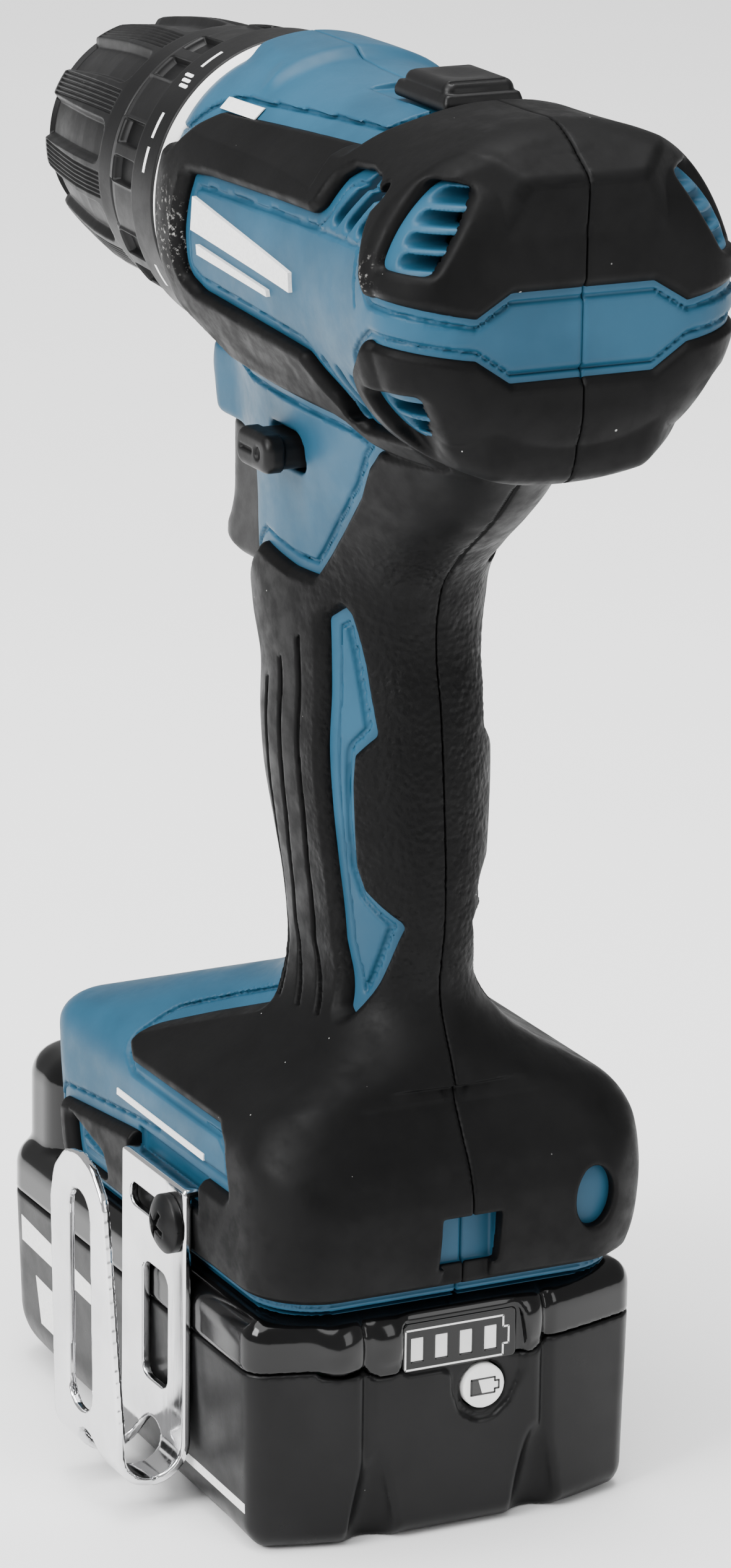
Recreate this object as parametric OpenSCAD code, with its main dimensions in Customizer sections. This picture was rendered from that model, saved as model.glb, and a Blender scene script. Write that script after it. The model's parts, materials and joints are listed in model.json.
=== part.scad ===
// Cordless drill driver: two-speed planetary gearbox, brushless motor, keyless chuck and slide-on battery.
// Frame: +X along the spindle to the chuck, +Y to the side with the belt clip, +Z up.
// Origin: centre of the battery's resting face.

/* [Head] */
// Height of the spindle axis above the resting face
axis_z = 228.4; // [226:0.2:231]
// Rear face of the blue housing, on the spindle axis
head_rear_x = -94.2; // [-96:0.1:-93]
// Front face of the blue housing
head_front_x = 11; // [10.5:0.1:11.2]
// Wall thickness of the plastic shells
wall = 2.6; // [2.2:0.1:2.8]
// Thickness of the rubber overmould
rubber = 1.9; // [1.2:0.1:2.1]

/* [Chuck and torque ring] */
// Front face of the chuck sleeve
chuck_front_x = 77; // [76.5:0.1:79]
// Largest radius of the chuck sleeve, at its rear
sleeve_r = 24.4; // [24:0.1:25]
// Radius of the sleeve at its nose
sleeve_nose_r = 20.6; // [20.2:0.1:21]
// Outer radius of the torque ring
torque_r = 27.6; // [27:0.1:28]
// Radius of the bit bore
bit_r = 6.6; // [6.5:0.05:6.7]
// Tilt of the jaws to the spindle axis
jaw_tilt = 18; // [18:0.5:19]

/* [Gearbox] */
// Module of the first stage
mod_1 = 0.75; // [0.74:0.01:0.76]
// Teeth on the motor pinion
sun_1 = 12; // [12:1:12]
// Teeth on each first stage planet
planet_1 = 18; // [18:1:18]
// Module of the second stage
mod_2 = 0.8; // [0.79:0.01:0.81]
// Teeth on the second stage sun
sun_2 = 15; // [15:1:15]
// Teeth on each second stage planet
planet_2 = 15; // [15:1:15]
// Thickness taken off every tooth so that the gears run freely
backlash = 0.16; // [0.12:0.01:0.2]

/* [Battery] */
// Length of the battery case
battery_l = 113.6; // [113:0.1:115]
// Width of the battery case
battery_w = 76.4; // [75:0.1:77]
// Height of the seam between the two battery cases
seam_z = 33.8; // [33.6:0.1:34]
// Height of the battery lid under the handle foot
lid_z = 43.9; // [43.6:0.1:44]
// Height of the raised front of the battery
dome_z = 61.6; // [61:0.1:61.8]
// Radius of one cell
cell_r = 9.15; // [9:0.05:9.2]
// Length of one cell
cell_l = 65; // [64:0.5:66]

/* [Belt clip] */
// Width of the clip's plate
clip_w = 27; // [26:0.5:28]
// Thickness of the clip's steel
clip_t = 1.6; // [1.4:0.1:1.8]

/* [Hidden] */
$fn = 64;
far = 400;
fine = 32;

// Derived tooth counts and centre distances
ring_1 = sun_1 + 2 * planet_1;
ring_2 = sun_2 + 2 * planet_2;
arm_1 = mod_1 * (sun_1 + planet_1) / 2;
arm_2 = mod_2 * (sun_2 + planet_2) / 2;

// Places along the spindle axis
bracket_x = -44;
stage_1_x = -36;
stage_1_l = 8.5;
carrier_1_x = -26.8;
stage_2_x = -22.6;
stage_2_l = 9;
carrier_2_x = -12.6;
case_front_x = -8.4;
case_r = 23.4;
bracket_r = 24;
neck_r = 14.5;
neck_x = 37;
ring_rear_x = 13.8;
ring_front_x = 37.6;
sleeve_x = 38.2;
body_x = 38.6;

// Inside the chuck body: end of the threaded socket, end of the web, start of the bit bore
socket_x = 48;
web_x = 50;
bore_x = 53.6;
socket_r = 6.35;
pocket_r = 5.4;
screw_hole_r = 3;

// Jaws: radius, length, and the tip's place with the jaws open
jaw_r = 4.2;
jaw_l = 32;
jaw_tip_x = 73;
jaw_tip_r = 7;
jaw_open_r = 6.75;
nut_rear_x = 62.4;
nut_front_x = 68.8;

// Direction lever
lever_z = 191.4;
lever_x = -20.6;
lever_r = 3.4;

// Spaces inside the head
motor_space_r = 25.9;
gear_space_r = 24.2;

// Trigger, speed selector and check button
trigger_z = 162.2;
selector_x = -58.4;
check_y = -5.5;
check_z = 26.6;
check_r = 4.1;

// Indicator panel on the rear of the battery
panel_y0 = -9;
panel_y1 = 10;
panel_z = 40.2;

// Foot of the handle
foot_z = 44.4;
foot_front_x = 42;
foot_rear_x = -58.6;
dome_x = 35.4;

// Belt clip and the rear of the battery
clip_y = 38.4;
clip_x = -28.6;
bend_r = 7.4;
flange_z = 59;
battery_rear_x = -56.4;

// ---------------------------------------------------------------- helpers

// Turns a shape drawn along +Z so that it runs along +X on the spindle axis
module on_axis() {
    translate([0, 0, axis_z]) rotate([0, 90, 0]) children();
}

// A tube on the spindle axis from x0 to x1
module ring_x(x0, x1, r_out, r_in = 0) {
    on_axis() translate([0, 0, x0]) difference() {
        cylinder(h = x1 - x0, r = r_out);
        if (r_in > 0) translate([0, 0, -1]) cylinder(h = x1 - x0 + 2, r = r_in);
    }
}

// Three copies round the spindle axis
module around(count, start = 0) {
    for (i = [0 : count - 1])
        translate([0, 0, axis_z]) rotate([start + i * 360 / count, 0, 0]) children();
}

module box(x0, x1, y0, y1, z0, z1) {
    translate([x0, y0, z0]) cube([x1 - x0, y1 - y0, z1 - z0]);
}

// A rectangle with round corners, made of true arcs
module round_rect(x0, x1, half_y, r) {
    translate([x0 + r, -half_y]) square([x1 - x0 - 2 * r, 2 * half_y]);
    translate([x0, -half_y + r]) square([x1 - x0, 2 * half_y - 2 * r]);
    for (x = [x0 + r, x1 - r], y = [-half_y + r, half_y - r])
        translate([x, y]) circle(r);
}

module plate(x0, x1, half_y, r, z0, z1) {
    translate([0, 0, z0]) linear_extrude(z1 - z0) round_rect(x0, x1, half_y, r);
}

// Half of a shape: side 1 keeps +Y, side -1 keeps -Y
module half(side) {
    intersection() {
        children();
        translate([-far / 2, side > 0 ? 0 : -far / 2, 0]) cube([far, far / 2, far]);
    }
}

// Involute of a circle, as an angle in degrees at radius r
function inv_deg(rb, r) = r <= rb ? 0 : let (a = acos(rb / r)) tan(a) * 180 / PI - a;

function polar(r, a) = [r * cos(a), r * sin(a)];

// One gear outline: n teeth of module m; thin is taken off each tooth's thickness
module gear_outline(n, m, thin, add = 0.95, ded = 1.25) {
    rp = n * m / 2;
    rb = rp * cos(20);
    ra = rp + add * m;
    rf = rp - ded * m;
    half_tooth = 90 / n - thin / 2 / rp * 180 / PI + inv_deg(rb, rp);
    radii = [rf, max(rb, rf + 0.1), (max(rb, rf + 0.1) + rp) / 2, rp, (rp + ra) / 2, ra];
    polygon([for (i = [0 : n - 1]) each concat(
        [for (k = [0 : 5]) polar(radii[k], i * 360 / n - half_tooth + inv_deg(rb, radii[k]))],
        [for (k = [5 : -1 : 0]) polar(radii[k], i * 360 / n + half_tooth - inv_deg(rb, radii[k]))])]);
}

// A gear on an axis parallel to X; turn is the angle of its first tooth about X, from +Y towards +Z
module gear_x(x0, x1, n, m, turn, bore_r = 0) {
    translate([x0, 0, 0]) rotate([90, 0, 90]) linear_extrude(x1 - x0) difference() {
        rotate(turn) gear_outline(n, m, backlash);
        if (bore_r > 0) circle(bore_r);
    }
}

// Turn that puts a planet in mesh with a sun whose first tooth points along +Y
function mesh_turn(place, sun, planet) =
    let (pitch = 360 / sun, ahead = place / pitch - floor(place / pitch))
    place + 180 + (ahead + 0.5) * 360 / planet;

module planet_gear(x0, x1, arm, place, sun, planet, m, pin_r) {
    translate([0, arm * cos(place), axis_z + arm * sin(place)])
        gear_x(x0, x1, planet, m, mesh_turn(place, sun, planet), pin_r + 0.06);
}

module ring_gear(x0, x1, teeth, m, turn) {
    translate([x0, 0, axis_z]) rotate([90, 0, 90]) linear_extrude(x1 - x0) difference() {
        circle(case_r - 2.5);
        rotate(turn) gear_outline(teeth, m, -backlash, 1.25, 0.85);
    }
}

module carrier_pins(x0, x1, arm, pin_r) {
    for (place = [0, 120, 240])
        translate([x0, arm * cos(place), axis_z + arm * sin(place)])
            rotate([0, 90, 0]) cylinder(h = x1 - x0, r = pin_r, $fn = fine);
}

// A ball bearing on the spindle axis: two races and a ring of balls, as one group
module bearing(x0, x1, r_out, r_in) {
    gap = (r_out - r_in) * 0.3;
    ball_r = (r_out - r_in) * 0.21;
    color("silver") {
        ring_x(x0, x1, r_out, r_out - gap);
        ring_x(x0, x1, r_in + gap, r_in);
    }
    color("gainsboro") around(8)
        translate([(x0 + x1) / 2, (r_out + r_in) / 2, 0]) sphere(r = ball_r, $fn = 16);
}

// A helical-looking spring drawn as a stack of rings
module ring_stack(length, r, wire, turns) {
    step = (length - wire) / (turns - 1);
    for (i = [0 : turns - 1])
        translate([0, 0, wire / 2 + i * step])
            rotate_extrude($fn = 48) translate([r, 0]) circle(r = wire / 2, $fn = 16);
}

// ---------------------------------------------------------------- outer forms

// Radius of the head along X, as [x, r] pairs; grow thickens it
function head_line(grow) = [
    [head_rear_x - grow, 0], [head_rear_x - grow, 19 + grow], [head_rear_x + 4 - grow, 26 + grow],
    [-82 - grow, 30 + grow], [-70, 30 + grow], [-45, 28.6 + grow], [0, 28.2 + grow],
    [head_front_x, 26.4 + grow], [head_front_x, 0]];

module head_form(grow) {
    on_axis() rotate_extrude($fn = 96) polygon([for (p = head_line(grow)) [p[1], p[0]]]);
}

// One oval slice of the handle
module slice(z, x_rear, x_front, half_y, grow) {
    translate([(x_rear + x_front) / 2, 0, z])
        scale([(x_front - x_rear) / 2 + grow, half_y + grow, 1]) cylinder(h = 0.2, r = 1, $fn = fine);
}

module handle_form(grow) {
    hull() {
        slice(94, -45.5, -4.1, 11.7, grow);
        slice(118, -47.5, 0.3, 13.4, grow);
        slice(140, -45.9, 4.1, 15.4, grow);
        slice(170, -42, 10, 16.2, grow);
    }
}

module neck_form(grow) {
    hull() {
        slice(168, -42.4, 9.6, 16, grow);
        slice(186, -58, 24, 18.6, grow);
        slice(196, -68, 25.6, 19.6, grow);
        slice(201.2, -70, 9.6, 22, grow);
    }
}

module foot_rim(grow) {
    hull() {
        plate(foot_rear_x - grow + 3, foot_front_x, 35 + grow, 10, foot_z, foot_z + 1);
        plate(foot_rear_x - grow, foot_front_x, 36.2 + grow, 11, 66, 71);
    }
}

module foot_top(grow) {
    hull() {
        plate(foot_rear_x - grow, foot_front_x, 36.2 + grow, 11, 66, 71);
        plate(-52 - grow, 36, 31 + grow, 12, 76, 77);
        slice(96, -47.4, -2.2, 13.6, grow);
    }
}

// Louvre slots through the side of the head; side is 1 for left, -1 for right
module louvres(side) {
    y0 = side > 0 ? 10 : -40;
    for (i = [0 : 3]) {
        translate([-86 + i * 1.2, y0, axis_z + 9 + i * 4.2]) cube([10, 30, 2]);
        translate([-86 + i * 1.2, y0, axis_z - 15 - i * 4.2]) cube([10, 30, 2]);
    }
    for (i = [0 : 2]) {
        translate([-63 - i * 5, y0, axis_z + 10]) rotate([0, 35, 0]) cube([2.2, 30, 9]);
        translate([-63 - i * 5, y0, axis_z - 12]) rotate([0, 145, 0]) cube([2.2, 30, 9]);
    }
}

// Side outline of the rubber on the head
module rubber_side() {
    polygon([[14, 237], [0, 248], [-54, 251], [-62, 252], [-72, 262], [-72, 270], [-110, 270],
             [-110, 233.5], [-84, 232], [-78, 231], [-77, 238], [-76, 248], [-63, 248], [-56, 240.5],
             [-8, 237.5], [-1, 228], [-2, 217], [-47, 214.5], [-54, 206], [-68, 203], [-79, 225],
             [-84, 225], [-110, 217], [-110, 180], [-30, 180], [-44, 203], [12, 214], [16, 220]]);
}

// Channel in the foot for the battery's tower, open to the front
tower_x = -38;
tower_half_y = 20;
tower_z = 57;
rail_depth = 3;

module battery_channel() {
    box(tower_x - 1, foot_front_x + 5, -tower_half_y - 0.5, tower_half_y + 0.5, foot_z - 1, 48);
    box(tower_x - 1, foot_front_x + 5, -tower_half_y + rail_depth - 0.4, tower_half_y - rail_depth + 0.4,
        47, 51);
    box(tower_x - 1, foot_front_x + 5, -tower_half_y - 0.5, tower_half_y + 0.5, 50.6, tower_z + 1);
    box(dome_x - 0.4, foot_front_x + 5, -40, 40, foot_z - 1, dome_z + 0.5);
    box(dome_x - 0.4, foot_front_x + 5, -6.5, 6.5, dome_z - 1, dome_z + 4);
}

module housing_solid() {
    difference() {
        union() {
            head_form(0);
            handle_form(0);
            neck_form(0);
            foot_rim(0);
            foot_top(0);
            // low hump over the gearbox, with the selector's slot behind it
            intersection() {
                translate([-20, -13, axis_z + 20]) cube([30, 26, 9.8]);
                on_axis() translate([0, 0, -20]) cylinder(h = 30, r = 30.5);
            }
        }
        // motor and gearbox space
        on_axis() rotate_extrude($fn = 96) polygon([
            [0, head_rear_x + wall], [16.8, head_rear_x + wall], [23.6, head_rear_x + wall + 4.4],
            [motor_space_r, -79], [motor_space_r, -47], [gear_space_r, -47],
            [gear_space_r, head_front_x + 1], [0, head_front_x + 1]]);
        // inside of the neck and handle
        translate([-22, 0, 70]) scale([17.5, 10.2, 1]) cylinder(h = 120, r = 1, $fn = fine);
        box(-27, 0, -9.2, 9.2, 151, 187.8);
        box(-44, -2, -12, 12, 186, 208);
        // trigger opening
        box(-1, 40, -8.9, 8.9, trigger_z - 0.5, 187.8);
        // space for the controller and the terminals
        box(-44, 30, -28, 28, tower_z + 4, 72);
        box(-36.3, -19.7, -12.3, 12.3, tower_z, tower_z + 5);
        battery_channel();
        // openings for the lever, the work light, the speed selector and its fork
        box(lever_x - 7.1, lever_x + 7.1, -60, 60, lever_z - lever_r - 0.35, lever_z + lever_r + 0.35);
        box(10, 40, -6.2, 6.2, 189.4, 195.8);
        box(selector_x - 0.6, selector_x + 29.2, -8.2, 8.2, axis_z + 26.3, axis_z + 40);
        box(-43.6, -20, -2.2, 2.2, axis_z + 20, axis_z + 26.4);
        // slot for the clip's folded flange, clip screw hole and louvres
        box(clip_x - 0.4, clip_x + clip_w + 0.4, clip_y - 3, clip_y + 4, flange_z - 0.4, flange_z + clip_t + 0.4);
        translate([clip_x + 5.2, 28, 53]) rotate([-90, 0, 0]) cylinder(h = 20, r = 2, $fn = 24);
        louvres(1);
        louvres(-1);
        screw_channels();
    }
    // rear motor bearing seat
    ring_x(head_rear_x + wall - 0.4, -86, 10.4, 8.05);
}

// Case screws, as [x, z, depth of the head's face on the right side]
case_screws = [[-60, 198.6, 11.6], [0, 199.8, 14.4], [-43.6, 178, 9], [-42.4, 116, 6.2],
               [-50, 62, 34], [36, 67.5, 32.6]];

module screw_channels() {
    for (p = case_screws) translate([p[0], 0, p[1]]) rotate([90, 0, 0]) {
        translate([0, 0, -5.6]) cylinder(h = 80, r = 2.1, $fn = 24);
        translate([0, 0, p[2] - 2.2]) cylinder(h = 60, r = 3.8, $fn = 32);
    }
}

// ---------------------------------------------------------------- housings and rubber

module housing_left() {
    color("steelblue") half(1) housing_solid();
}

module housing_right() {
    color("steelblue") half(-1) housing_solid();
}

module rubber_solid() {
    difference() {
        union() {
            intersection() {
                head_form(rubber);
                translate([0, 60, 0]) rotate([90, 0, 0]) linear_extrude(120) rubber_side();
            }
            intersection() {
                handle_form(rubber);
                box(-60, 30, -40, 40, 92, 168);
            }
            intersection() {
                foot_rim(rubber);
                box(-80, -12, -50, 50, foot_z + 2.6, 71);
            }
            intersection() {
                neck_form(rubber);
                translate([0, 60, 0]) rotate([90, 0, 0]) linear_extrude(120) polygon([
                    [-100, 215], [-58, 215], [-54, 198], [-31, 171], [-10, 160], [-60, 160]]);
            }
        }
        head_form(0);
        handle_form(0);
        foot_rim(0);
        foot_top(0);
        neck_form(0);
        louvres(1);
        louvres(-1);
        screw_channels();
        box(-1, 40, -8.9, 8.9, trigger_z - 0.5, 187.8);
        box(-80, -50, -5.8, 5.8, foot_z, 60);
        box(clip_x - 12, clip_x + clip_w + 1, 30, 50, 40, 66);
    }
}

module overmould_left() {
    color([0.18, 0.18, 0.19]) half(1) rubber_solid();
}

module overmould_right() {
    color([0.18, 0.18, 0.19]) half(-1) rubber_solid();
}

// Pan head screws that close the right shell onto the left one
module housing_screws() {
    color("dimgray") for (p = case_screws) translate([p[0], -p[2], p[1]]) rotate([-90, 0, 0]) {
        difference() {
            cylinder(h = 2.1, r = 3.4, $fn = 32);
            translate([0, 0, -0.1]) cylinder(h = 1.4, r = 1.5, $fn = 6);
        }
        translate([0, 0, 2]) cylinder(h = p[2] + 3, r = 1.9, $fn = 24);
    }
}

// ---------------------------------------------------------------- motor

module stator() {
    color("darkgray") translate([-73, 0, axis_z]) rotate([90, 0, 90]) linear_extrude(22) {
        difference() {
            circle(motor_space_r - 0.3);
            circle(22.4);
        }
        for (i = [0 : 5]) rotate(i * 60) {
            translate([12.4, -2.4]) square([10.8, 4.8]);
            intersection() {
                difference() {
                    circle(13.6);
                    circle(11.9);
                }
                polygon([[0, 0], [20, -8.6], [20, 8.6]]);
            }
        }
    }
}

module windings() {
    color("peru") for (i = [0 : 5]) translate([-62, 0, axis_z]) rotate([i * 60 , 0, 0]) difference() {
        translate([-14, 14.2, -6]) cube([28, 6.8, 12]);
        translate([-11.2, 14, -2.6]) cube([22.4, 8, 5.2]);
        for (s = [-1, 1]) rotate([s * 30, 0, 0])
            translate([-15, 10, s > 0 ? -0.4 : -19.6]) cube([30, 20, 20]);
    }
}

module rotor() {
    color("dimgray") ring_x(-74, -50, 11.2, 2.52);
}

module motor_shaft() {
    color("silver") {
        ring_x(-91, stage_1_x - 0.5, 2.5);
        translate([0, 0, axis_z])
            gear_x(stage_1_x - 0.5, stage_1_x + stage_1_l + 0.2, sun_1, mod_1, 0);
    }
}

module fan() {
    color("black") {
        ring_x(-84.6, -83.2, 22, 2.52);
        ring_x(-83.3, -77.6, 7, 2.52);
        around(9) rotate([12, 0, 0]) translate([-83.3, 6, -0.8]) cube([5.4, 15.6, 1.6]);
    }
}

module front_motor_bearing() {
    bearing(bracket_x + 1, stage_1_x - 1.8, 8, 2.54);
}

module rear_motor_bearing() {
    bearing(-91, -86, 8, 2.54);
}

module sensor_board() {
    color("darkgreen") ring_x(-46.4, -44.9, 22, 9);
    color("black") around(3, 30) translate([-47.4, 12, -2]) cube([1, 4, 4]);
}

module motor_bracket() {
    color("darkgray") difference() {
        ring_x(bracket_x, stage_1_x - 0.8, bracket_r);
        ring_x(bracket_x - 1, stage_1_x - 1.8, 8.04);
        ring_x(bracket_x, stage_1_x, 5.6);
        around(3, 90) translate([bracket_x - 1, 20, 0]) rotate([0, 90, 0]) cylinder(h = 20, r = 1.6, $fn = 24);
    }
}

// ---------------------------------------------------------------- gearbox

module gear_case() {
    color("darkgray") difference() {
        union() {
            difference() {
                ring_x(stage_1_x - 0.7, case_front_x + 4, case_r);
                ring_x(-33.8, -21.6, case_r + 1, case_r - 0.8);
            }
            ring_x(case_front_x, neck_x, neck_r);
        }
        ring_x(stage_1_x - 2, case_front_x, case_r - 2.45);
        ring_x(case_front_x - 1, neck_x + 1, 9);
        ring_x(neck_x - 7, neck_x + 1, 12.02);
        around(6) translate([case_front_x - 1, 18.4, 0]) rotate([0, 90, 0]) cylinder(h = 8, r = 2.05, $fn = 24);
    }
}

module ring_gear_1() {
    color("slategray") ring_gear(stage_1_x, stage_1_x + stage_1_l, ring_1, mod_1,
        planet_1 % 2 == 0 ? 180 / ring_1 : 0);
}

module ring_gear_2() {
    color("slategray") ring_gear(stage_2_x, stage_2_x + stage_2_l + 1.4, ring_2, mod_2,
        planet_2 % 2 == 0 ? 180 / ring_2 : 0);
}

module stage_1_planet(place) {
    color("silver") planet_gear(stage_1_x + 0.5, stage_1_x + stage_1_l, arm_1, place,
        sun_1, planet_1, mod_1, 1.5);
}

module planet_1_a() {
    stage_1_planet(0);
}

module planet_1_b() {
    stage_1_planet(120);
}

module planet_1_c() {
    stage_1_planet(240);
}

module stage_2_planet(place) {
    color("silver") planet_gear(stage_2_x + 0.3, stage_2_x + stage_2_l, arm_2, place,
        sun_2, planet_2, mod_2, 1.75);
}

module planet_2_a() {
    stage_2_planet(0);
}

module planet_2_b() {
    stage_2_planet(120);
}

module planet_2_c() {
    stage_2_planet(240);
}

module carrier_1() {
    color("gray") {
        ring_x(carrier_1_x, stage_2_x - 0.4, 15);
        carrier_pins(stage_1_x + 0.6, carrier_1_x + 0.1, arm_1, 1.5);
        translate([0, 0, axis_z])
            gear_x(stage_2_x - 0.5, stage_2_x + stage_2_l, sun_2, mod_2, 0);
    }
}

module carrier_2() {
    color("gray") {
        difference() {
            union() {
                ring_x(carrier_2_x, case_front_x - 0.5, 15.6);
                ring_x(case_front_x - 0.6, case_front_x + 4, 8.4);
            }
            ring_x(carrier_2_x + 1.4, case_front_x + 5, 5.02);
        }
        carrier_pins(stage_2_x + 0.4, carrier_2_x + 0.1, arm_2, 1.75);
    }
}

module spindle() {
    color("silver") difference() {
        union() {
            ring_x(carrier_2_x + 1.6, case_front_x + 5, 5);
            ring_x(case_front_x + 4.2, body_x, 6);
            ring_x(neck_x - 9, neck_x - 6.8, 7.6);
            ring_x(body_x - 0.1, socket_x - 0.1, socket_r - 0.02);
        }
        ring_x(body_x - 8, socket_x + 1, screw_hole_r - 0.1);
    }
}

module spindle_bearing() {
    bearing(neck_x - 6.6, neck_x - 0.6, 12, 6.02);
}

// ---------------------------------------------------------------- clutch and torque ring

module clutch_pins() {
    color("silver") around(6) translate([stage_2_x + stage_2_l + 1.5, 18.4, 0]) rotate([0, 90, 0])
        cylinder(h = case_front_x + 4.6 - (stage_2_x + stage_2_l + 1.5), r = 2, $fn = 24);
}

module clutch_washer() {
    color("silver") ring_x(case_front_x + 4.7, case_front_x + 6.2, 21, neck_r + 0.2);
}

nut_x = 21;
nut_l = 4;

module clutch_spring() {
    color("gray") on_axis() translate([0, 0, case_front_x + 6.3])
        ring_stack(nut_x - 0.1 - (case_front_x + 6.3), 17.6, 2.2, 5);
}

module clutch_nut() {
    color("darkgray") difference() {
        union() {
            ring_x(nut_x, nut_x + nut_l, 21);
            translate([nut_x, -24, axis_z - 3]) cube([nut_l, 48, 6]);
        }
        ring_x(nut_x - 1, nut_x + nut_l + 1, neck_r + 0.08);
    }
}

// Torque ring: smooth rear flange, notched grip, and a front wall that turns on the gear case neck
module torque_ring() {
    color([0.12, 0.12, 0.13]) difference() {
        on_axis() rotate_extrude($fn = 96) polygon([
            [21.3, ring_rear_x], [torque_r, ring_rear_x], [torque_r, 22], [26.8, 24], [26.4, 33],
            [25.2, ring_front_x - 1], [24.6, ring_front_x], [neck_r + 0.06, ring_front_x],
            [neck_r + 0.06, 33], [21.3, 33]]);
        for (i = [0 : 11]) translate([0, 0, axis_z]) rotate([i * 30 + 15, 0, 0])
            translate([24, 25.4, -3]) cube([10, 5, 6]);
        translate([ring_rear_x - 1, -24.4, axis_z - 3.3]) cube([20, 48.8, 6.6]);
    }
}

module marker_ring() {
    color("whitesmoke") ring_x(head_front_x + 0.1, ring_rear_x - 0.4, 26.2, 21.5);
}

// ---------------------------------------------------------------- chuck

// Puts a shape drawn along +Z on a jaw's tilted axis, with z = 0 at the tip
module on_jaw(place) {
    translate([0, 0, axis_z]) rotate([place, 0, 0]) translate([jaw_tip_x, 0, jaw_tip_r])
        rotate([0, -90 + jaw_tilt, 0]) children();
}

module chuck_body() {
    color("dimgray") difference() {
        on_axis() rotate_extrude($fn = 96) polygon([
            [0, body_x], [21.5, body_x], [21.5, 46], [19.8, nut_rear_x - 0.4], [12.3, nut_rear_x - 0.4],
            [12.3, nut_front_x + 0.4], [17.3, nut_front_x + 0.4], [15.6, 75.2],
            [14.1, chuck_front_x - 0.6], [0, chuck_front_x - 0.6]]);
        ring_x(bore_x, chuck_front_x, bit_r);
        ring_x(body_x - 1, socket_x, socket_r);
        ring_x(socket_x - 1, bore_x, screw_hole_r);
        ring_x(web_x, bore_x + 0.1, pocket_r);
        for (place = [0, 120, 240])
            on_jaw(place) translate([0, 0, -12]) cylinder(h = jaw_l + 14.5, r = jaw_r + 0.06);
    }
}

// A jaw: a tilted rod with a flat gripping face and two flanks that meet the other jaws
module jaw(place) {
    flat = 1.3;
    reach = 20;
    color("silver") intersection() {
        on_jaw(place) cylinder(h = jaw_l, r = jaw_r);
        translate([0, 0, axis_z]) rotate([place, 0, 0]) translate([30, 0, 0])
            rotate([90, 0, 90]) linear_extrude(60) polygon([
                [-flat, jaw_open_r], [flat, jaw_open_r], [reach, jaw_open_r + (reach - flat) / tan(60)],
                [reach, 40], [-reach, 40], [-reach, jaw_open_r + (reach - flat) / tan(60)]]);
    }
}

module jaw_1() {
    jaw(0);
}

module jaw_2() {
    jaw(120);
}

module jaw_3() {
    jaw(240);
}

// Outer edge of a jaw at a given x, measured from the spindle axis
function jaw_edge(x) = jaw_tip_r + (jaw_tip_x - x) * tan(jaw_tilt) + jaw_r / cos(jaw_tilt);

module jaw_nut() {
    color("gray") on_axis() rotate_extrude($fn = 96) polygon([
        [jaw_edge(nut_rear_x) + 0.25, nut_rear_x], [19.5, nut_rear_x], [17.5, nut_front_x],
        [jaw_edge(nut_front_x) + 0.25, nut_front_x]]);
}

// Grip sleeve: tapered, with six long flutes and a fine ribbed land between each pair
module chuck_sleeve() {
    color([0.1, 0.1, 0.11]) difference() {
        on_axis() rotate_extrude($fn = 96) polygon([
            [21.9, sleeve_x], [sleeve_r, sleeve_x], [sleeve_r, 44], [22.8, 60], [21.5, 74],
            [sleeve_nose_r, chuck_front_x - 0.8], [19.6, chuck_front_x], [14.6, chuck_front_x],
            [16.1, 75], [20.7, 60], [21.9, 48]]);
        around(6) translate([44, 23.6, -4]) rotate([0, 0, -7]) cube([40, 6, 8]);
    }
}

module chuck_screw() {
    color("gray") difference() {
        union() {
            ring_x(body_x - 7, web_x + 0.1, screw_hole_r - 0.15);
            ring_x(web_x + 0.02, bore_x - 0.2, pocket_r - 0.2);
        }
        on_axis() translate([0, 0, web_x + 1.6]) cylinder(h = 4, r = 1.6, $fn = 6);
    }
}

// ---------------------------------------------------------------- controls

// Trigger with a rounded face and a stem that enters the switch
module trigger() {
    color([0.14, 0.14, 0.15]) difference() {
        union() {
            intersection() {
                translate([0, 9, 0]) rotate([90, 0, 0]) linear_extrude(18) polygon([
                    [2.9, trigger_z], [19, trigger_z], [26, 163], [28.1, 166], [25.8, 171],
                    [25.2, 176], [25.2, 187.2], [2.9, 187.2]]);
                translate([0, 0, 150]) linear_extrude(60) union() {
                    translate([2, -8.5]) square([17, 17]);
                    translate([19, 0]) scale([9.2, 8.5]) circle(1);
                }
            }
            box(-3.4, 3, -2.2, 2.2, 176, 180.4);
        }
        translate([2, 0, 170]) rotate([0, 90, 0]) cylinder(h = 6, r = 3.3, $fn = 32);
    }
}

module trigger_spring() {
    color("silver") translate([-3.4, 0, 170]) rotate([0, 90, 0]) ring_stack(11.3, 2.6, 0.7, 7);
}

module switch_module() {
    color([0.2, 0.2, 0.2]) difference() {
        union() {
            box(-26, -3.6, -8.6, 8.6, 161, 184.4);
            box(-24, -8, -6, 6, 152, 161.1);
        }
        box(-11, 0, -2.6, 2.6, 175.6, 180.8);
    }
}

// Forward and reverse lever, pushed through the housing from side to side
module direction_lever() {
    color([0.1, 0.1, 0.1]) {
        translate([0, 24.6, 0]) rotate([90, 0, 0]) linear_extrude(41.8) {
            translate([lever_x - 3.2, lever_z]) circle(lever_r);
            translate([lever_x + 3.2, lever_z]) circle(lever_r);
            translate([lever_x - 3.2, lever_z - lever_r]) square([6.4, 2 * lever_r]);
        }
    }
}

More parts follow.
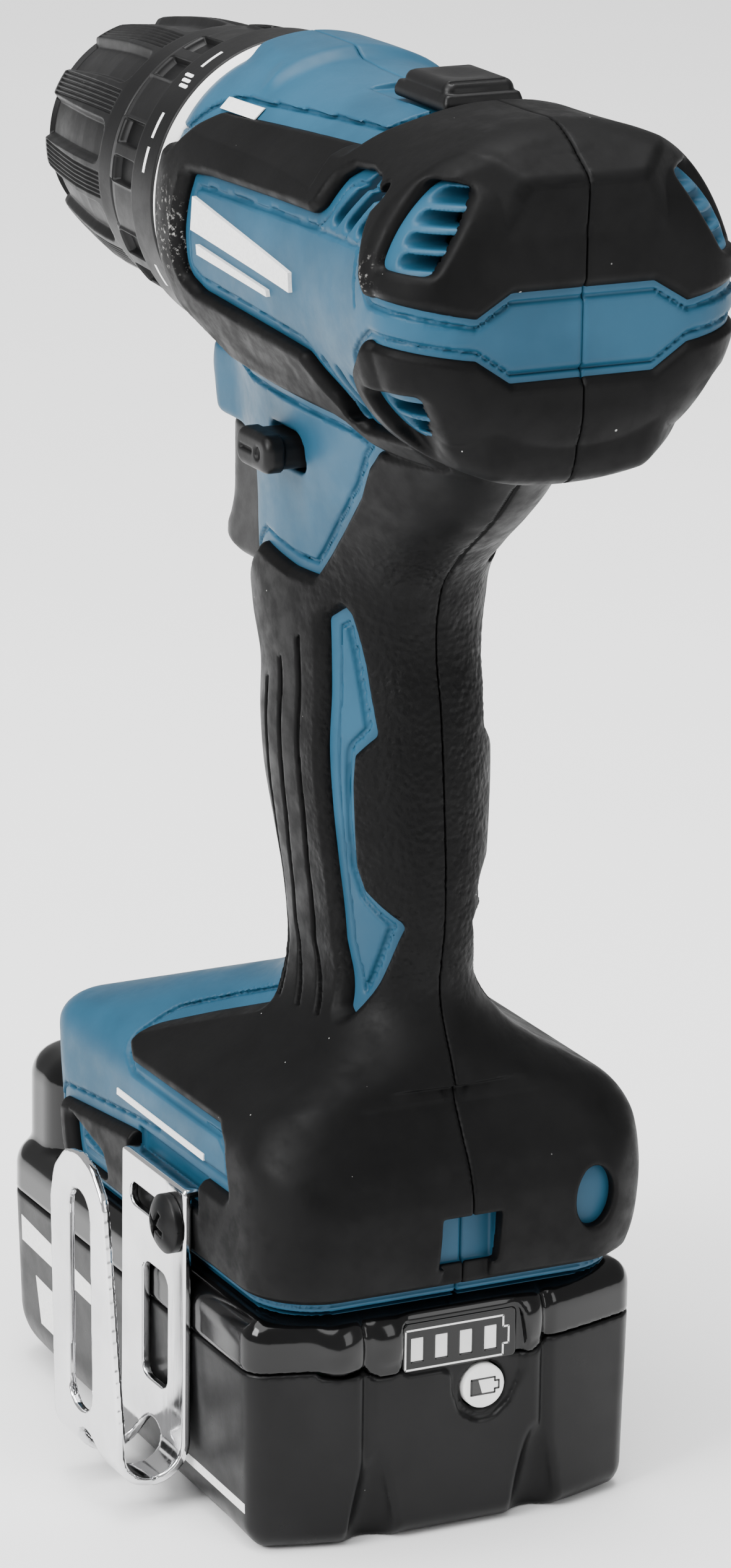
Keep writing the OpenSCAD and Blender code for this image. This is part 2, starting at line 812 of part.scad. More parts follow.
module speed_selector() {
    color([0.1, 0.1, 0.1]) difference() {
        union() {
            box(selector_x, selector_x + 19.6, -7.6, 7.6, axis_z + 26.7, axis_z + 28.8);
            box(selector_x + 1, selector_x + 18, -6.6, 6.6, axis_z + 28.7, axis_z + 31.4);
        }
        box(selector_x + 15, selector_x + 18, -2.4, 2.4, axis_z + 26, axis_z + 28.2);
    }
}

// Fork: a pin in the selector, a bar over the motor bracket, and a half ring round the gear case
module shift_fork() {
    pin_x = selector_x + 15.2;
    color("silver") {
        difference() {
            ring_x(-33, -31.4, case_r + 0.5, case_r - 0.74);
            box(-40, -20, -40, 40, axis_z - 60, axis_z);
        }
        box(pin_x, -31.4, -1.6, 1.6, axis_z + bracket_r + 0.3, axis_z + 25.8);
        box(-33, -31.4, -1.6, 1.6, axis_z + case_r, axis_z + bracket_r + 0.4);
        box(pin_x, pin_x + 2.4, -1.6, 1.6, axis_z + 25.7, axis_z + 27.9);
    }
}

module work_light() {
    color("lightyellow") {
        box(21.4, 24.4, -5.4, 5.4, 189.8, 195.4);
        box(11, 21.5, -3.4, 3.4, 190.6, 194.4);
    }
}

module controller_board() {
    color("darkgreen") box(-40, 26, -24, 24, 62.4, 64);
    color("black") {
        box(-32, -8, -18, -4, 63.9, 69);
        box(-4, 18, 2, 20, 63.9, 70.4);
        translate([-24, 10, 63.9]) cylinder(h = 7, r = 5, $fn = 32);
    }
}

module terminal_block() {
    color("black") box(-36, -20, -12, 12, tower_z + 0.9 + 0.2, 62.3);
    color("gold") for (y = [-8, 8]) box(-34, -22, y - 0.4, y + 0.4, tower_z - 5, tower_z + 1.2);
}

// ---------------------------------------------------------------- belt clip

// The clip's side views in Y and Z: the plate with its bend, and the arm
module plate_side() {
    bend_y = clip_y + bend_r;
    translate([clip_y, 13]) square([clip_t, 47]);
    translate([clip_y - 2.6, flange_z]) square([2.6 + clip_t, clip_t]);
    intersection() {
        translate([bend_y, 13]) difference() {
            circle(bend_r);
            circle(bend_r - clip_t);
        }
        translate([bend_y - 20, 13 - 20]) square([40, 20]);
    }
}

module belt_clip() {
    color("silver") difference() {
        union() {
            translate([clip_x, 0, 0]) rotate([90, 0, 90]) linear_extrude(clip_w) plate_side();
            intersection() {
                translate([clip_x, clip_y + 2 * bend_r - clip_t, 12.9]) cube([clip_w, clip_t, 52]);
                translate([0, 80, 0]) rotate([90, 0, 0]) linear_extrude(60) polygon([
                    [clip_x, 12], [clip_x + clip_w, 12], [clip_x + clip_w, 53], [clip_x + 23, 63],
                    [clip_x + 14, 64], [clip_x + 7, 59]]);
            }
        }
        // long slots in the plate and in the arm
        box(clip_x + 7, clip_x + 17.4, clip_y - 4, clip_y + 3, 20.5, 41.5);
        box(clip_x + 11, clip_x + 20.6, clip_y + 6, clip_y + 30, 18, 54);
        // adjusting slot beside the screw
        box(clip_x + 5.2, clip_x + 22.4, clip_y - 4, clip_y + 3, 51, 55);
        translate([clip_x + 5.2, clip_y - 4, 53]) rotate([-90, 0, 0]) cylinder(h = 8, r = 2.1, $fn = 24);
        // opening at the bend
        translate([clip_x + 13.3, clip_y + bend_r, 5.4]) rotate([90, 0, 0]) cylinder(h = 30, r = 5, center = true);
    }
}

module clip_screw() {
    color([0.1, 0.1, 0.1]) translate([clip_x + 5.2, clip_y + clip_t, 53]) rotate([-90, 0, 0]) {
        intersection() {
            translate([0, 0, -5.2]) sphere(r = 8, $fn = 48);
            cylinder(h = 4, r = 5.6, $fn = 48);
        }
        translate([0, 0, -12]) cylinder(h = 12.1, r = 1.9, $fn = 24);
    }
}

// ---------------------------------------------------------------- battery

battery_front_x = battery_rear_x + battery_l;
shell = 2.2;

module battery_lower_case() {
    color([0.13, 0.13, 0.13]) difference() {
        plate(battery_rear_x, battery_front_x, battery_w / 2, 9, 0, seam_z);
        plate(battery_rear_x + shell, battery_front_x - shell, battery_w / 2 - shell, 7, shell, seam_z + 1);
        // check button opening and two tapered notches under the rear edge
        translate([battery_rear_x - 1, check_y, check_z]) rotate([0, 90, 0]) cylinder(h = 5, r = check_r + 0.35);
        for (y = [-16, 16]) translate([battery_rear_x - 1, y, -9]) rotate([0, 45, 0])
            cube([9, 6, 9], center = true);
    }
}

module battery_upper_case() {
    color([0.06, 0.06, 0.06]) difference() {
        union() {
            plate(battery_rear_x, battery_front_x, battery_w / 2, 9, seam_z + 0.1, lid_z);
            plate(dome_x, battery_front_x - 0.2, battery_w / 2 - 3, 10, lid_z - 1, dome_z);
            box(tower_x, dome_x + 12, -tower_half_y, tower_half_y, lid_z - 1, tower_z);
        }
        plate(battery_rear_x + shell, battery_front_x - shell, battery_w / 2 - shell, 7, seam_z, lid_z - shell);
        // rail grooves
        for (s = [-1, 1]) translate([tower_x - 1, s > 0 ? tower_half_y - rail_depth : -tower_half_y - 1, 47.6])
            cube([dome_x - tower_x + 0.6, rail_depth + 1, 3.4]);
        // terminal slots in the tower
        for (y = [-8, 8]) box(tower_x - 1, -18, y - 1.2, y + 1.2, 50, tower_z + 1);
        box(tower_x + 2.2, 33, -14.8, 14.8, lid_z - shell - 1, tower_z - 2.2);
        // space for the release button and its spring
        box(43, battery_front_x + 1, -10.4, 10.4, 46.5, 58.6);
        box(36.4, 43.1, -5.4, 5.4, 47.6, dome_z + 1);
        translate([53, 0, 41.9]) cylinder(h = 6, r = 3.6, $fn = 32);
        // seat of the indicator panel
        box(battery_rear_x - 1, battery_rear_x + 1.4, panel_y0 - 0.1, panel_y1 + 0.1, seam_z, panel_z + 0.1);
    }
}

module battery_cells() {
    color("seagreen") for (i = [0 : 4], k = [0 : 1])
        translate([-38 + i * 19, cell_l / 2, 11.5 + k * 18.7]) rotate([90, 0, 0])
            cylinder(h = cell_l, r = cell_r);
}

module cell_holder() {
    color("white") difference() {
        union() {
            box(-48.4, 48.4, 24, 30, 5, 36.4);
            box(-48.4, 48.4, -30, -24, 5, 36.4);
        }
        for (i = [0 : 4], k = [0 : 1])
            translate([-38 + i * 19, 40, 11.5 + k * 18.7]) rotate([90, 0, 0])
                cylinder(h = 80, r = cell_r + 0.05);
    }
}

module battery_board() {
    color("darkgreen") box(-40, 30, -20, 20, 39.6, 41);
    color("gold") for (y = [-8, 8]) box(-34, -24, y - 0.35, y + 0.35, 40.9, 49);
}

// Release button on the front, with the hook that holds the battery in the foot
module release_button() {
    color([0.25, 0.25, 0.25]) {
        box(50, battery_front_x - 0.6, -10, 10, 50.4, 58.2);
        box(40.4, 50.1, -4.8, 4.8, 52, 55);
        box(36.8, 40.5, -4.8, 4.8, 52, dome_z + 2.4);
    }
}

module release_spring() {
    color("silver") translate([53, 0, 42]) ring_stack(8.3, 3, 0.7, 6);
}

module indicator_panel() {
    color([0.1, 0.1, 0.1]) box(battery_rear_x + 0.1, battery_rear_x + 1.3, panel_y0, panel_y1, seam_z + 0.4, panel_z);
    color("gainsboro") for (i = [0 : 3])
        box(battery_rear_x - 0.2, battery_rear_x + 0.2, 4.6 - i * 3.9, 6.8 - i * 3.9, 35.6, 38.8);
}

module check_button() {
    color("gainsboro") translate([battery_rear_x - 0.5, check_y, check_z]) rotate([0, 90, 0])
        cylinder(h = 3.2, r = check_r);
}

// ---------------------------------------------------------------- output

housing_left();
housing_right();
overmould_left();
overmould_right();
housing_screws();
stator();
windings();
rotor();
motor_shaft();
fan();
front_motor_bearing();
rear_motor_bearing();
sensor_board();
motor_bracket();
gear_case();
ring_gear_1();
ring_gear_2();
planet_1_a();
planet_1_b();
planet_1_c();
planet_2_a();
planet_2_b();
planet_2_c();
carrier_1();
carrier_2();
spindle();
spindle_bearing();
clutch_pins();
clutch_washer();
clutch_spring();
clutch_nut();
torque_ring();
marker_ring();
chuck_body();
jaw_1();
jaw_2();
jaw_3();
jaw_nut();
chuck_sleeve();
chuck_screw();
trigger();
trigger_spring();
switch_module();
direction_lever();
speed_selector();
shift_fork();
work_light();
controller_board();
terminal_block();
belt_clip();
clip_screw();
battery_lower_case();
battery_upper_case();
battery_cells();
cell_holder();
battery_board();
release_button();
release_spring();
indicator_panel();
check_button();
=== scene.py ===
"""Looks of a cordless drill driver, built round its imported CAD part.

Shapes are written as distance fields in millimetres, meshed here, and scaled to metres.
+X runs along the spindle to the chuck, +Y to the belt clip's side, +Z up.
"""

import json
import math

import bpy
import numpy as np
from mathutils import Matrix, Vector


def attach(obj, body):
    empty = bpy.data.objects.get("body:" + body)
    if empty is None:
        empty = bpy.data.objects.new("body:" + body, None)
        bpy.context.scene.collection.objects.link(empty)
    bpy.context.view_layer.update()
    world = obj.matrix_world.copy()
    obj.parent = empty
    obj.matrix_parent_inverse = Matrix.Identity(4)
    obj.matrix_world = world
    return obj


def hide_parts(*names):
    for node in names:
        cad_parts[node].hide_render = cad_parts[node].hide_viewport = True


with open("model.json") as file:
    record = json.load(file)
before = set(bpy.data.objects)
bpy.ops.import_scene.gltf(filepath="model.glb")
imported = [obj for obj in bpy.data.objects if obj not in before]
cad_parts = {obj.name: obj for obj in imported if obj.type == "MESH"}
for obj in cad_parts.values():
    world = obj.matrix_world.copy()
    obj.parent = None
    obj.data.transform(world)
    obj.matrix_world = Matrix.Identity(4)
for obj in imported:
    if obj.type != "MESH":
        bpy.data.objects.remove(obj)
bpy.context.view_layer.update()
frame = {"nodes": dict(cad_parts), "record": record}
MM = 0.001
STEP = 0.5

# ---------------------------------------------------------------- small maths for distance fields, in mm

AXIS = 228.4
RUBBER = 1.9
FAR = 50.0
BAND_X = -79
CHART_STEP, PROFILE_STEP = 0.3, 0.4


def smooth_min(a, b, k):
    """Union of two fields with a soft blend about k mm wide."""
    h = np.clip(0.5 + 0.5 * (b - a) / k, 0, 1)
    return b + (a - b) * h - k * h * (1 - h)


def round_max(a, b, r):
    """Where two fields overlap, with an outer edge rounded to radius r."""
    return np.minimum(np.maximum(a, b), -r) + np.hypot(np.maximum(a + r, 0), np.maximum(b + r, 0))


def round_min(a, b, r):
    """Union of two fields with an inner corner rounded to radius r."""
    return -round_max(-a, -b, r)


def cut(a, b, r):
    """Field a with the shape of field b taken out of it."""
    return round_max(a, -b, r)


def smooth_step(low, high, v):
    """0 below low, 1 above high, and a soft rise between."""
    t = np.clip((v - low) / (high - low), 0, 1)
    return t * t * (3 - 2 * t)


def curve(t, at, value):
    """Smooth curve through the points (at, value)."""
    at, value = np.asarray(at, float), np.asarray(value, float)
    slope = np.gradient(value, at)
    i = np.clip(np.searchsorted(at, t) - 1, 0, len(at) - 2)
    h = at[i + 1] - at[i]
    s = np.clip((t - at[i]) / h, 0, 1)
    return (value[i] * (1 + 2 * s) * (1 - s) ** 2 + value[i + 1] * s * s * (3 - 2 * s)
            + h * s * (1 - s) * (slope[i] * (1 - s) - slope[i + 1] * s))


def oval(u, v, a, b, n=2.0):
    """Field of a squarish oval with half sizes a and b."""
    p, q = np.abs(u / a), np.abs(v / b)
    s = np.maximum(p ** n + q ** n, 1e-4)
    rho = s ** (1 / n)
    steep = rho / s * np.hypot(p ** (n - 1) / a, q ** (n - 1) / b)
    return (rho - 1) / np.maximum(steep, 0.01)


def both(*fields):
    """Where all the fields overlap, with sharp edges."""
    d = fields[0]
    for field in fields[1:]:
        d = np.maximum(d, field)
    return d


def either(*fields):
    """Union of the fields, with sharp corners."""
    d = fields[0]
    for field in fields[1:]:
        d = np.minimum(d, field)
    return d


def slab(v, low, high):
    """Everything between two parallel planes."""
    return np.maximum(low - v, v - high)


def block(x, y, z, low, high, r):
    """Box with rounded edges."""
    d = [np.abs(v - (l + h) / 2) - (h - l) / 2 + r for v, l, h in zip((x, y, z), low, high)]
    outside = np.sqrt(sum(np.maximum(v, 0) ** 2 for v in d))
    return outside + np.minimum(np.maximum(np.maximum(d[0], d[1]), d[2]), 0) - r


def rounded_corner(a, b, r):
    """Field round a corner of radius r, from the distances past its centre in two directions."""
    return np.hypot(np.maximum(a, 0), np.maximum(b, 0)) + np.minimum(np.maximum(a, b), 0) - r


def rounded_rectangle(u, v, u0, u1, half, r):
    """Rectangle from u0 to u1, and half each side of v = 0, with corners of radius r."""
    return rounded_corner(np.abs(u - (u0 + u1) / 2) - (u1 - u0) / 2 + r, np.abs(v) - half + r, r)


def nothing(x, y, z):
    """A field with no shape in it yet."""
    return np.full(np.broadcast(x, y, z).shape, FAR)


def plane(x, y, z, normal, through):
    """Field of everything behind a plane; the normal needs no particular length."""
    n = np.asarray(normal, float) / np.linalg.norm(normal)
    return n[0] * (x - through[0]) + n[1] * (y - through[1]) + n[2] * (z - through[2])


def filleted(points, r):
    """A closed outline with each corner turned into an arc of radius r, or less where it doesn't fit."""
    p = np.asarray(points, float)
    out = []
    for i in range(len(p)):
        a, b, c = p[i - 1], p[i], p[(i + 1) % len(p)]
        u, v = (a - b) / np.linalg.norm(a - b), (c - b) / np.linalg.norm(c - b)
        half = np.arccos(np.clip(u @ v, -1, 1)) / 2
        if half > 1.5:
            out.append(b)
            continue
        reach = min(r / np.tan(half), 0.45 * np.linalg.norm(a - b), 0.45 * np.linalg.norm(c - b))
        radius = reach * np.tan(half)
        middle = b + (u + v) / np.linalg.norm(u + v) * radius / np.sin(half)
        t0, t1 = np.arctan2(*(b + u * reach - middle)[::-1]), np.arctan2(*(b + v * reach - middle)[::-1])
        turn = (t1 - t0 + np.pi) % (2 * np.pi) - np.pi
        steps = max(2, int(abs(turn) / 0.35))
        out += [middle + radius * np.array([np.cos(t0 + turn * k / steps), np.sin(t0 + turn * k / steps)])
                for k in range(steps + 1)]
    return np.array(out)


def square_to_segment(u, v, a, b):
    """Square of the distance to the straight line from a to b."""
    e = b - a
    t = np.clip(((u - a[0]) * e[0] + (v - a[1]) * e[1]) / (e @ e), 0, 1)
    return (u - a[0] - t * e[0]) ** 2 + (v - a[1] - t * e[1]) ** 2


def outline(u, v, points, r):
    """Signed distance to a closed outline in a plane, negative inside."""
    u, v = np.broadcast_arrays(np.asarray(u, float), np.asarray(v, float))
    p = filleted(points, r)
    best = np.full(u.shape, 1e9)
    inside = np.zeros(u.shape, bool)
    for a, b in zip(p, np.roll(p, -1, axis=0)):
        best = np.minimum(best, square_to_segment(u, v, a, b))
        if a[1] != b[1]:
            e = b - a
            crosses = ((a[1] > v) != (b[1] > v)) & (u < (v - a[1]) * e[0] / e[1] + a[0])
            inside ^= crosses
    return np.where(inside, -1, 1) * np.sqrt(best)


def stroke(u, v, points, width):
    """Distance to an open line drawn through points, less half its width."""
    u, v = np.broadcast_arrays(np.asarray(u, float), np.asarray(v, float))
    best = np.full(u.shape, 1e9)
    for a, b in zip(np.asarray(points[:-1], float), np.asarray(points[1:], float)):
        best = np.minimum(best, square_to_segment(u, v, a, b))
    return np.sqrt(best) - width / 2


def chart(shape, u0, u1, v0, v1):
    columns = np.arange(u0, u1 + CHART_STEP, CHART_STEP)
    rows = np.arange(v0, v1 + CHART_STEP, CHART_STEP)
    table = shape(columns[:, None], rows[None, :])

    def look(u, v):
        i = np.clip((u - u0) / CHART_STEP, 0, len(columns) - 1.001)
        j = np.clip((v - v0) / CHART_STEP, 0, len(rows) - 1.001)
        i, j = np.broadcast_arrays(i, j)
        i0, j0 = i.astype(int), j.astype(int)
        p, q = i - i0, j - j0
        return ((table[i0, j0] * (1 - p) + table[i0 + 1, j0] * p) * (1 - q)
                + (table[i0, j0 + 1] * (1 - p) + table[i0 + 1, j0 + 1] * p) * q)
    return look


# ---------------------------------------------------------------- main forms, y outwards from the seam

HEAD_X = [-98, -84, -79, -70, -50, -20, -11, 0, 7, 12]
HEAD_HALF_W = [32.6, 32.6, 32.3, 31.2, 29.6, 28.8, 28.7, 28.5, 27.6, 26.0]
HEAD_UP = [27.6, 27.8, 27.6, 27.4, 27.4, 27.6, 28.2, 28.2, 27.6, 26.2]
HEAD_DOWN = [27.4, 28.0, 28.2, 28.2, 28.2, 28.4, 28.4, 28.2, 27.6, 26.0]


def head_form(x, y, z, grow):
    h = z - AXIS
    w = curve(x, HEAD_X, HEAD_HALF_W) + grow
    v = np.where(h > 0, curve(x, HEAD_X, HEAD_UP), curve(x, HEAD_X, HEAD_DOWN)) + grow
    side = oval(y, h, w, v, 2.15)
    body = round_max(side, -94.0 - grow - x, 12 if grow == 0 else 4.5)
    hump = round_max(oval(y, h, 30.1, 30.1), outline(x, y, [(-12, -20), (-12, 20), (-5, 14), (9.5, 11),
                                                            (9.5, -11), (-5, -14)], 2) + 0.6, 2.5)
    body = smooth_min(body, hump + 0.2 if grow == 0 else body + 1, 2.5)
    return round_max(body, x - 11.1, 0.6)


HANDLE_Z = [80, 92, 98, 104, 110, 120, 130, 140, 150, 158, 165, 172, 178, 184, 190, 196, 202]
HANDLE_REAR = [-52, -47.9, -47.6, -48.5, -49.4, -49.4, -48.6, -47.6, -46.2, -44.4, -44.5, -47, -53, -61, -68,
               -73, -76]
HANDLE_FRONT = [4, -1.2, -1.5, -0.7, 0.6, 2.9, 5.3, 6.0, 6.7, 9.1, 10.6, 12.2, 13.4, 15, 18, 19, 19]
HANDLE_HALF = [15.5, 13.8, 13.6, 13.8, 14.2, 15.5, 16.7, 17.3, 16.9, 17.4, 17.6, 17.6, 17.8, 18.4, 19.4,
               20.4, 21.4]


def handle_form(x, y, z, grow):
    rear, front = curve(z, HANDLE_Z, HANDLE_REAR), curve(z, HANDLE_Z, HANDLE_FRONT)
    half = curve(z, HANDLE_Z, HANDLE_HALF)
    inset = RUBBER - grow
    return oval(x - (rear + front) / 2, y, (front - rear) / 2 - inset, half - inset, 2.25)


def neck_nose(x, y, z):
    """The bulge under the torque ring that carries the work light."""
    front = curve(z, [184, 188, 191, 193.5, 196, 201], [24.5, 26.6, 27.6, 28.2, 28.8, 28.2])
    d = rounded_rectangle(x, y, -20, front, 11.4, 8)
    d = round_max(d, 187.9 - z, 1.4)
    return round_max(d, z - 200.6, 1.2)


def foot_form(x, y, z, grow):
    rear = curve(z, [44, 47, 52, 58, 66, 70, 74, 80],
                 [-55.6, -57.0, -59.0, -60.1, -60.2, -59.2, -57.0, -54.0])
    front = np.interp(z, [44, 60, 74, 80], [41.6, 42.0, 44.6, 45.0])
    half = curve(z, [44, 47, 52, 60, 68, 76, 82], [34.6, 35.3, 36.0, 36.4, 36.3, 35.9, 35.2]) + grow
    mid, length = (rear + front) / 2, (front - rear) / 2
    corner = 12 + grow
    a = np.abs(x - mid) - length - np.where(x < mid, grow, 0) + corner
    b = np.abs(y) - half + corner
    side = rounded_corner(a, b, corner)
    top_front = plane(x, y, z, (0.353, 0, 0.935), (-11.5, 0, 95.3)) - grow
    top_side = plane(x, np.abs(y), z, (0, 0.492, 0.871), (0, 16, 86.3)) - grow
    top_rear = plane(x, y, z, (-0.80, 0, 0.60), (-52.5, 0, 81.0)) - grow
    top = round_max(round_max(top_front, top_side, 5), top_rear, 8)
    d = round_max(side, top, 4.5)
    return round_max(d, 44.4 - z, 0.5)


def outer_form(x, y, z, grow):
    """Outside of the body: grow 0 is the blue plastic, RUBBER is the face of the rubber."""
    top, bottom = np.max(z), np.min(z)
    forms = []
    if top > 176:
        forms.append((head_form(x, y, z, grow), 0))
    if top > 84 and bottom < 206:
        forms.append((np.maximum(handle_form(x, y, z, grow), z - 204), 7))
    if top > 180 and bottom < 205:
        forms.append((neck_nose(x, y, z), 3))
    if bottom < 112:
        forms.append((foot_form(x, y, z, grow), 11))
    d = forms[0][0]
    for form, blend in forms[1:]:
        d = smooth_min(d, form, blend)
    return d

# ---------------------------------------------------------------- outlines in side view, as (x, z)

UPPER_ARM = [(12, 236.2), (6.4, 240.1), (0.4, 244.8), (-4.5, 247.3), (-8, 247.4), (-53.6, 249.9),
             (-56.6, 253.7), (-60.2, 256.8), (-62.6, 262), (-62.6, 275), (-120, 275), (-120, 222),
             (-84, 222), (-82.5, 230.6), (-80.6, 231.2), (-78.6, 233.6), (-75.2, 240.4), (-73.5, 245),
             (-70.9, 247.3),
             (-65.6, 248), (-59.1, 247.4), (-56.4, 245.6), (-54.8, 240.6), (-52.6, 239.1),
             (-11.6, 237.7), (-4.0, 236.9), (2, 228), (12, 228)]
FRONT_ARCH = [(12, 240), (3, 240), (-4.0, 236.9), (-2.7, 232), (-1.6, 227), (-0.9, 220.8), (-1.8, 218.6),
              (-6.6, 216.8), (0, 208), (12, 212)]
LOWER_ARM = [(12, 222), (2, 222), (-1.5, 218.4), (-6.6, 216.8), (-46.9, 214.4), (-50.6, 208.5),
             (-56, 203.2), (-70.3, 203.2), (-70.3, 196), (-55, 198.6), (-50.4, 201.4), (-45.7, 202.4),
             (-7.5, 203.6), (6, 210.2), (12, 212.6)]
LOWER_REAR = [(-77.4, 221.2), (-79.5, 223.2), (-81, 224.2), (-83, 224.6), (-84, 232), (-120, 232),
              (-120, 150), (-60, 150), (-46, 180), (-55, 198.6), (-70.4, 198.6), (-70.7, 213.6), (-73, 218)]
GRIP = [(-55, 198.6), (-50.8, 194.8), (-46.3, 188.6), (-36, 178.3), (-28.4, 170.0), (-20.6, 170.0),
        (-7.6, 171.4), (-3.6, 168.6), (4.4, 160), (7.0, 156.8), (30, 156.8), (30, 98.4), (-9.4, 97.6),
        (-12, 94.6), (-15.9, 88.9), (-1.6, 83.2), (6.8, 79.4), (6.9, 76.4), (2, 74.3), (-34.7, 74.5),
        (-39.3, 71.8), (-42.2, 63.3), (-9.9, 63.1), (2.6, 61.9), (24.6, 59.4), (31.4, 58.6),
        (31.4, 47.2), (-120, 47.2), (-120, 185), (-70, 190)]
INLAY = [(-30.3, 162.9), (-34.6, 165.9), (-35.9, 164.6), (-38.1, 156.7), (-41.6, 144.3), (-38.4, 140.3),
         (-38.2, 134.8), (-38.6, 120.0), (-40.1, 115.6), (-46.1, 110.6), (-43.2, 103.2), (-38.4, 92.2),
         (-36.4, 93.6), (-33.2, 105), (-32.6, 119), (-31.2, 145)]
EMBLEM = [(26.4, 56.9), (11.6, 53.4), (10.6, 50.4), (12.8, 48.6), (26.0, 48.6)]
UPPER_WINDOW = [(-83.2, 250.6), (-91.4, 249.3), (-97, 242), (-97, 235.6), (-83.0, 236.3)]
LOWER_WINDOW = [(-76.4, 215.3), (-91, 215.8), (-97, 208), (-97, 200.6), (-81.6, 202.6), (-77.6, 208)]

# Edges of the blue band on the rear face, as heights at distances from the seam
BAND_Y = [0, 13.1, 19.4, 33]
BAND_TOP = [232.4, 232.4, 228.6, 231.3]
BAND_LOW = [218.0, 218.0, 222.2, 224.3]

# Louvre slots as (x, z) of their two ends
SLANTED_SLOTS = [((-60.2 - 5.2 * i, 239.6), (-64.6 - 5.2 * i, 246.6)) for i in range(3)]
LOW_SLANTED_SLOTS = [((-52.4 - 5.6 * i, 213.6 - 0.5 * i), (-53.6 - 4.6 * i, 205.2 + 1.5 * i))
                     for i in range(4)]
SLOT_HEIGHTS_UP = [248.0, 244.6, 241.2, 237.9]
SLOT_HEIGHTS_LOW = [213.2, 209.8, 206.4, 203.2]

LEVER_X, LEVER_Y, LEVER_Z = -20.6, 3.7, 191.4
TRIGGER_LOW, TRIGGER_MID, TRIGGER_HIGH = 161.7, 174.5, 187.8
CASE_SCREWS = [(-60, 198.6, 11.6), (0, 199.8, 14.4), (-43.6, 178, 9), (-42.4, 116, 6.2), (-50, 62, 34),
               (36, 67.5, 32.6)]


def grip_area(x, z):
    grip = outline(x, z, GRIP, 1.2)
    grip = both(grip, -outline(x, z, INLAY, 1.0))
    return both(grip, -outline(x, z, EMBLEM, 1.0))


def slanted_area(x, z):
    return either(*(stroke(x, z, ends, 2.8) for ends in SLANTED_SLOTS + LOW_SLANTED_SLOTS))


HEAD_SPAN, GRIP_SPAN = (-100, 48, 148, 262), (-100, 48, 42, 206)
upper_chart = chart(lambda x, z: either(outline(x, z, UPPER_ARM, 1.6), outline(x, z, FRONT_ARCH, 1.6)),
                    *HEAD_SPAN)
arm_chart = chart(lambda x, z: outline(x, z, LOWER_ARM, 1.8), *HEAD_SPAN)
rear_chart = chart(lambda x, z: outline(x, z, LOWER_REAR, 1.8), *HEAD_SPAN)
grip_chart = chart(grip_area, *GRIP_SPAN)
slanted_chart = chart(slanted_area, -100, 0, 194, 262)
window_charts = [chart(lambda x, z, w=w: outline(x, z, w, 1.6), -100, -60, 190, 262)
                 for w in (UPPER_WINDOW, LOWER_WINDOW)]


def rubber_region(x, y, z):
    """Where rubber covers the blue plastic: negative inside, as a distance in side view."""
    d = None
    if np.max(z) > 148:
        top_edge = np.interp(y, BAND_Y, BAND_TOP) - z
        low_edge = z - np.interp(y, BAND_Y, BAND_LOW)
        upper, rear = upper_chart(x, z), rear_chart(x, z)
        upper = np.where(x < BAND_X, both(upper, top_edge), upper)
        rear = np.where(x < BAND_X, both(rear, low_edge), rear)
        d = either(upper, arm_chart(x, z), rear)
    if np.min(z) < 204:
        grip = np.where(z < 205, grip_chart(x, z), FAR)
        d = grip if d is None else either(d, grip)
    return d


def window_holes(x, y, z):
    """The two windows in the rubber over the rear louvres; their rear edges slope with height."""
    upper = round_max(window_charts[0](x, z), 18 + (249.5 - z) * 0.63 - y, 1.2)
    lower = round_max(window_charts[1](x, z), 27 - (216 - z) * 0.573 - y, 1.2)
    return either(upper, lower)


def head_facets(x, y, z):
    """Planes that shape the rubber at the rear of the head."""
    top = plane(x, y, z, (-0.553, 0, 0.833), (-96.1, 0, 250.2))
    corner = plane(x, y, z, (-0.75, 0.593, 0.288), (-90.1, 15.3, 255.1))
    rear = plane(x, y, z, (-0.995, 0, -0.102), (-96.1, 0, 250.2))
    side = plane(x, y, z, (-0.80, 0.60, 0), (-93.6, 19.6, 230))
    upper = round_max(round_max(top, corner, 0.9), round_max(rear, side, 0.9), 0.9)
    low_rear = plane(x, y, z, (-0.993, 0, -0.116), (-94.3, 0, 217.6))
    low = plane(x, y, z, (-0.788, 0, -0.616), (-92.1, 0, 201.4))
    low_corner = plane(x, y, z, (-0.72, 0.62, -0.30), (-93.2, 14.5, 206))
    lower = round_max(round_max(low_rear, low, 1.6), round_max(low_corner, side, 1.4), 1.4)
    facets = np.where(z > 226, upper, lower)
    return np.where(x < -40, facets, -20.0)


# Rooms cut into the body, as (low corner, high corner, edge radius): selector, trigger, lever, lamp,
# then the battery's tower, rails, dome and catch, and the two steps of the rear notch
ROOMS = [((-58.9, -1, AXIS + 26), (-30.6, 7.6, AXIS + 60), 0.4),
         ((-4.2, -1, TRIGGER_LOW), (40, 8.9, TRIGGER_HIGH), 0.5),
         ((LEVER_X - 7.1, -1, LEVER_Z - 3.75), (LEVER_X + 7.1, 60, LEVER_Z + 3.75), 2.6),
         ((10, -1, 189.4), (40, 6.2, 195.8), 0.8),
         ((-39, -1, 40), (60, 20.5, 48), 0.3),
         ((-39, -1, 46), (60, 17.4, 51), 0.3),
         ((-39, -1, 50.6), (60, 20.5, 58), 0.3),
         ((35.0, -1, 40), (60, 60, 62.1), 0.6),
         ((35.0, -1, 60), (60, 6.5, 65.6), 0.6),
         ((-80, -1, 51.6), (-57.4, 5.8, 61.4), 0.4),
         ((-80, -1, 40), (-58.6, 4.6, 53), 0.4)]
CLIP_ROOM = [((-30.4, 34.6, 57.0), (-0.6, 60, 63.0), 0.5)]


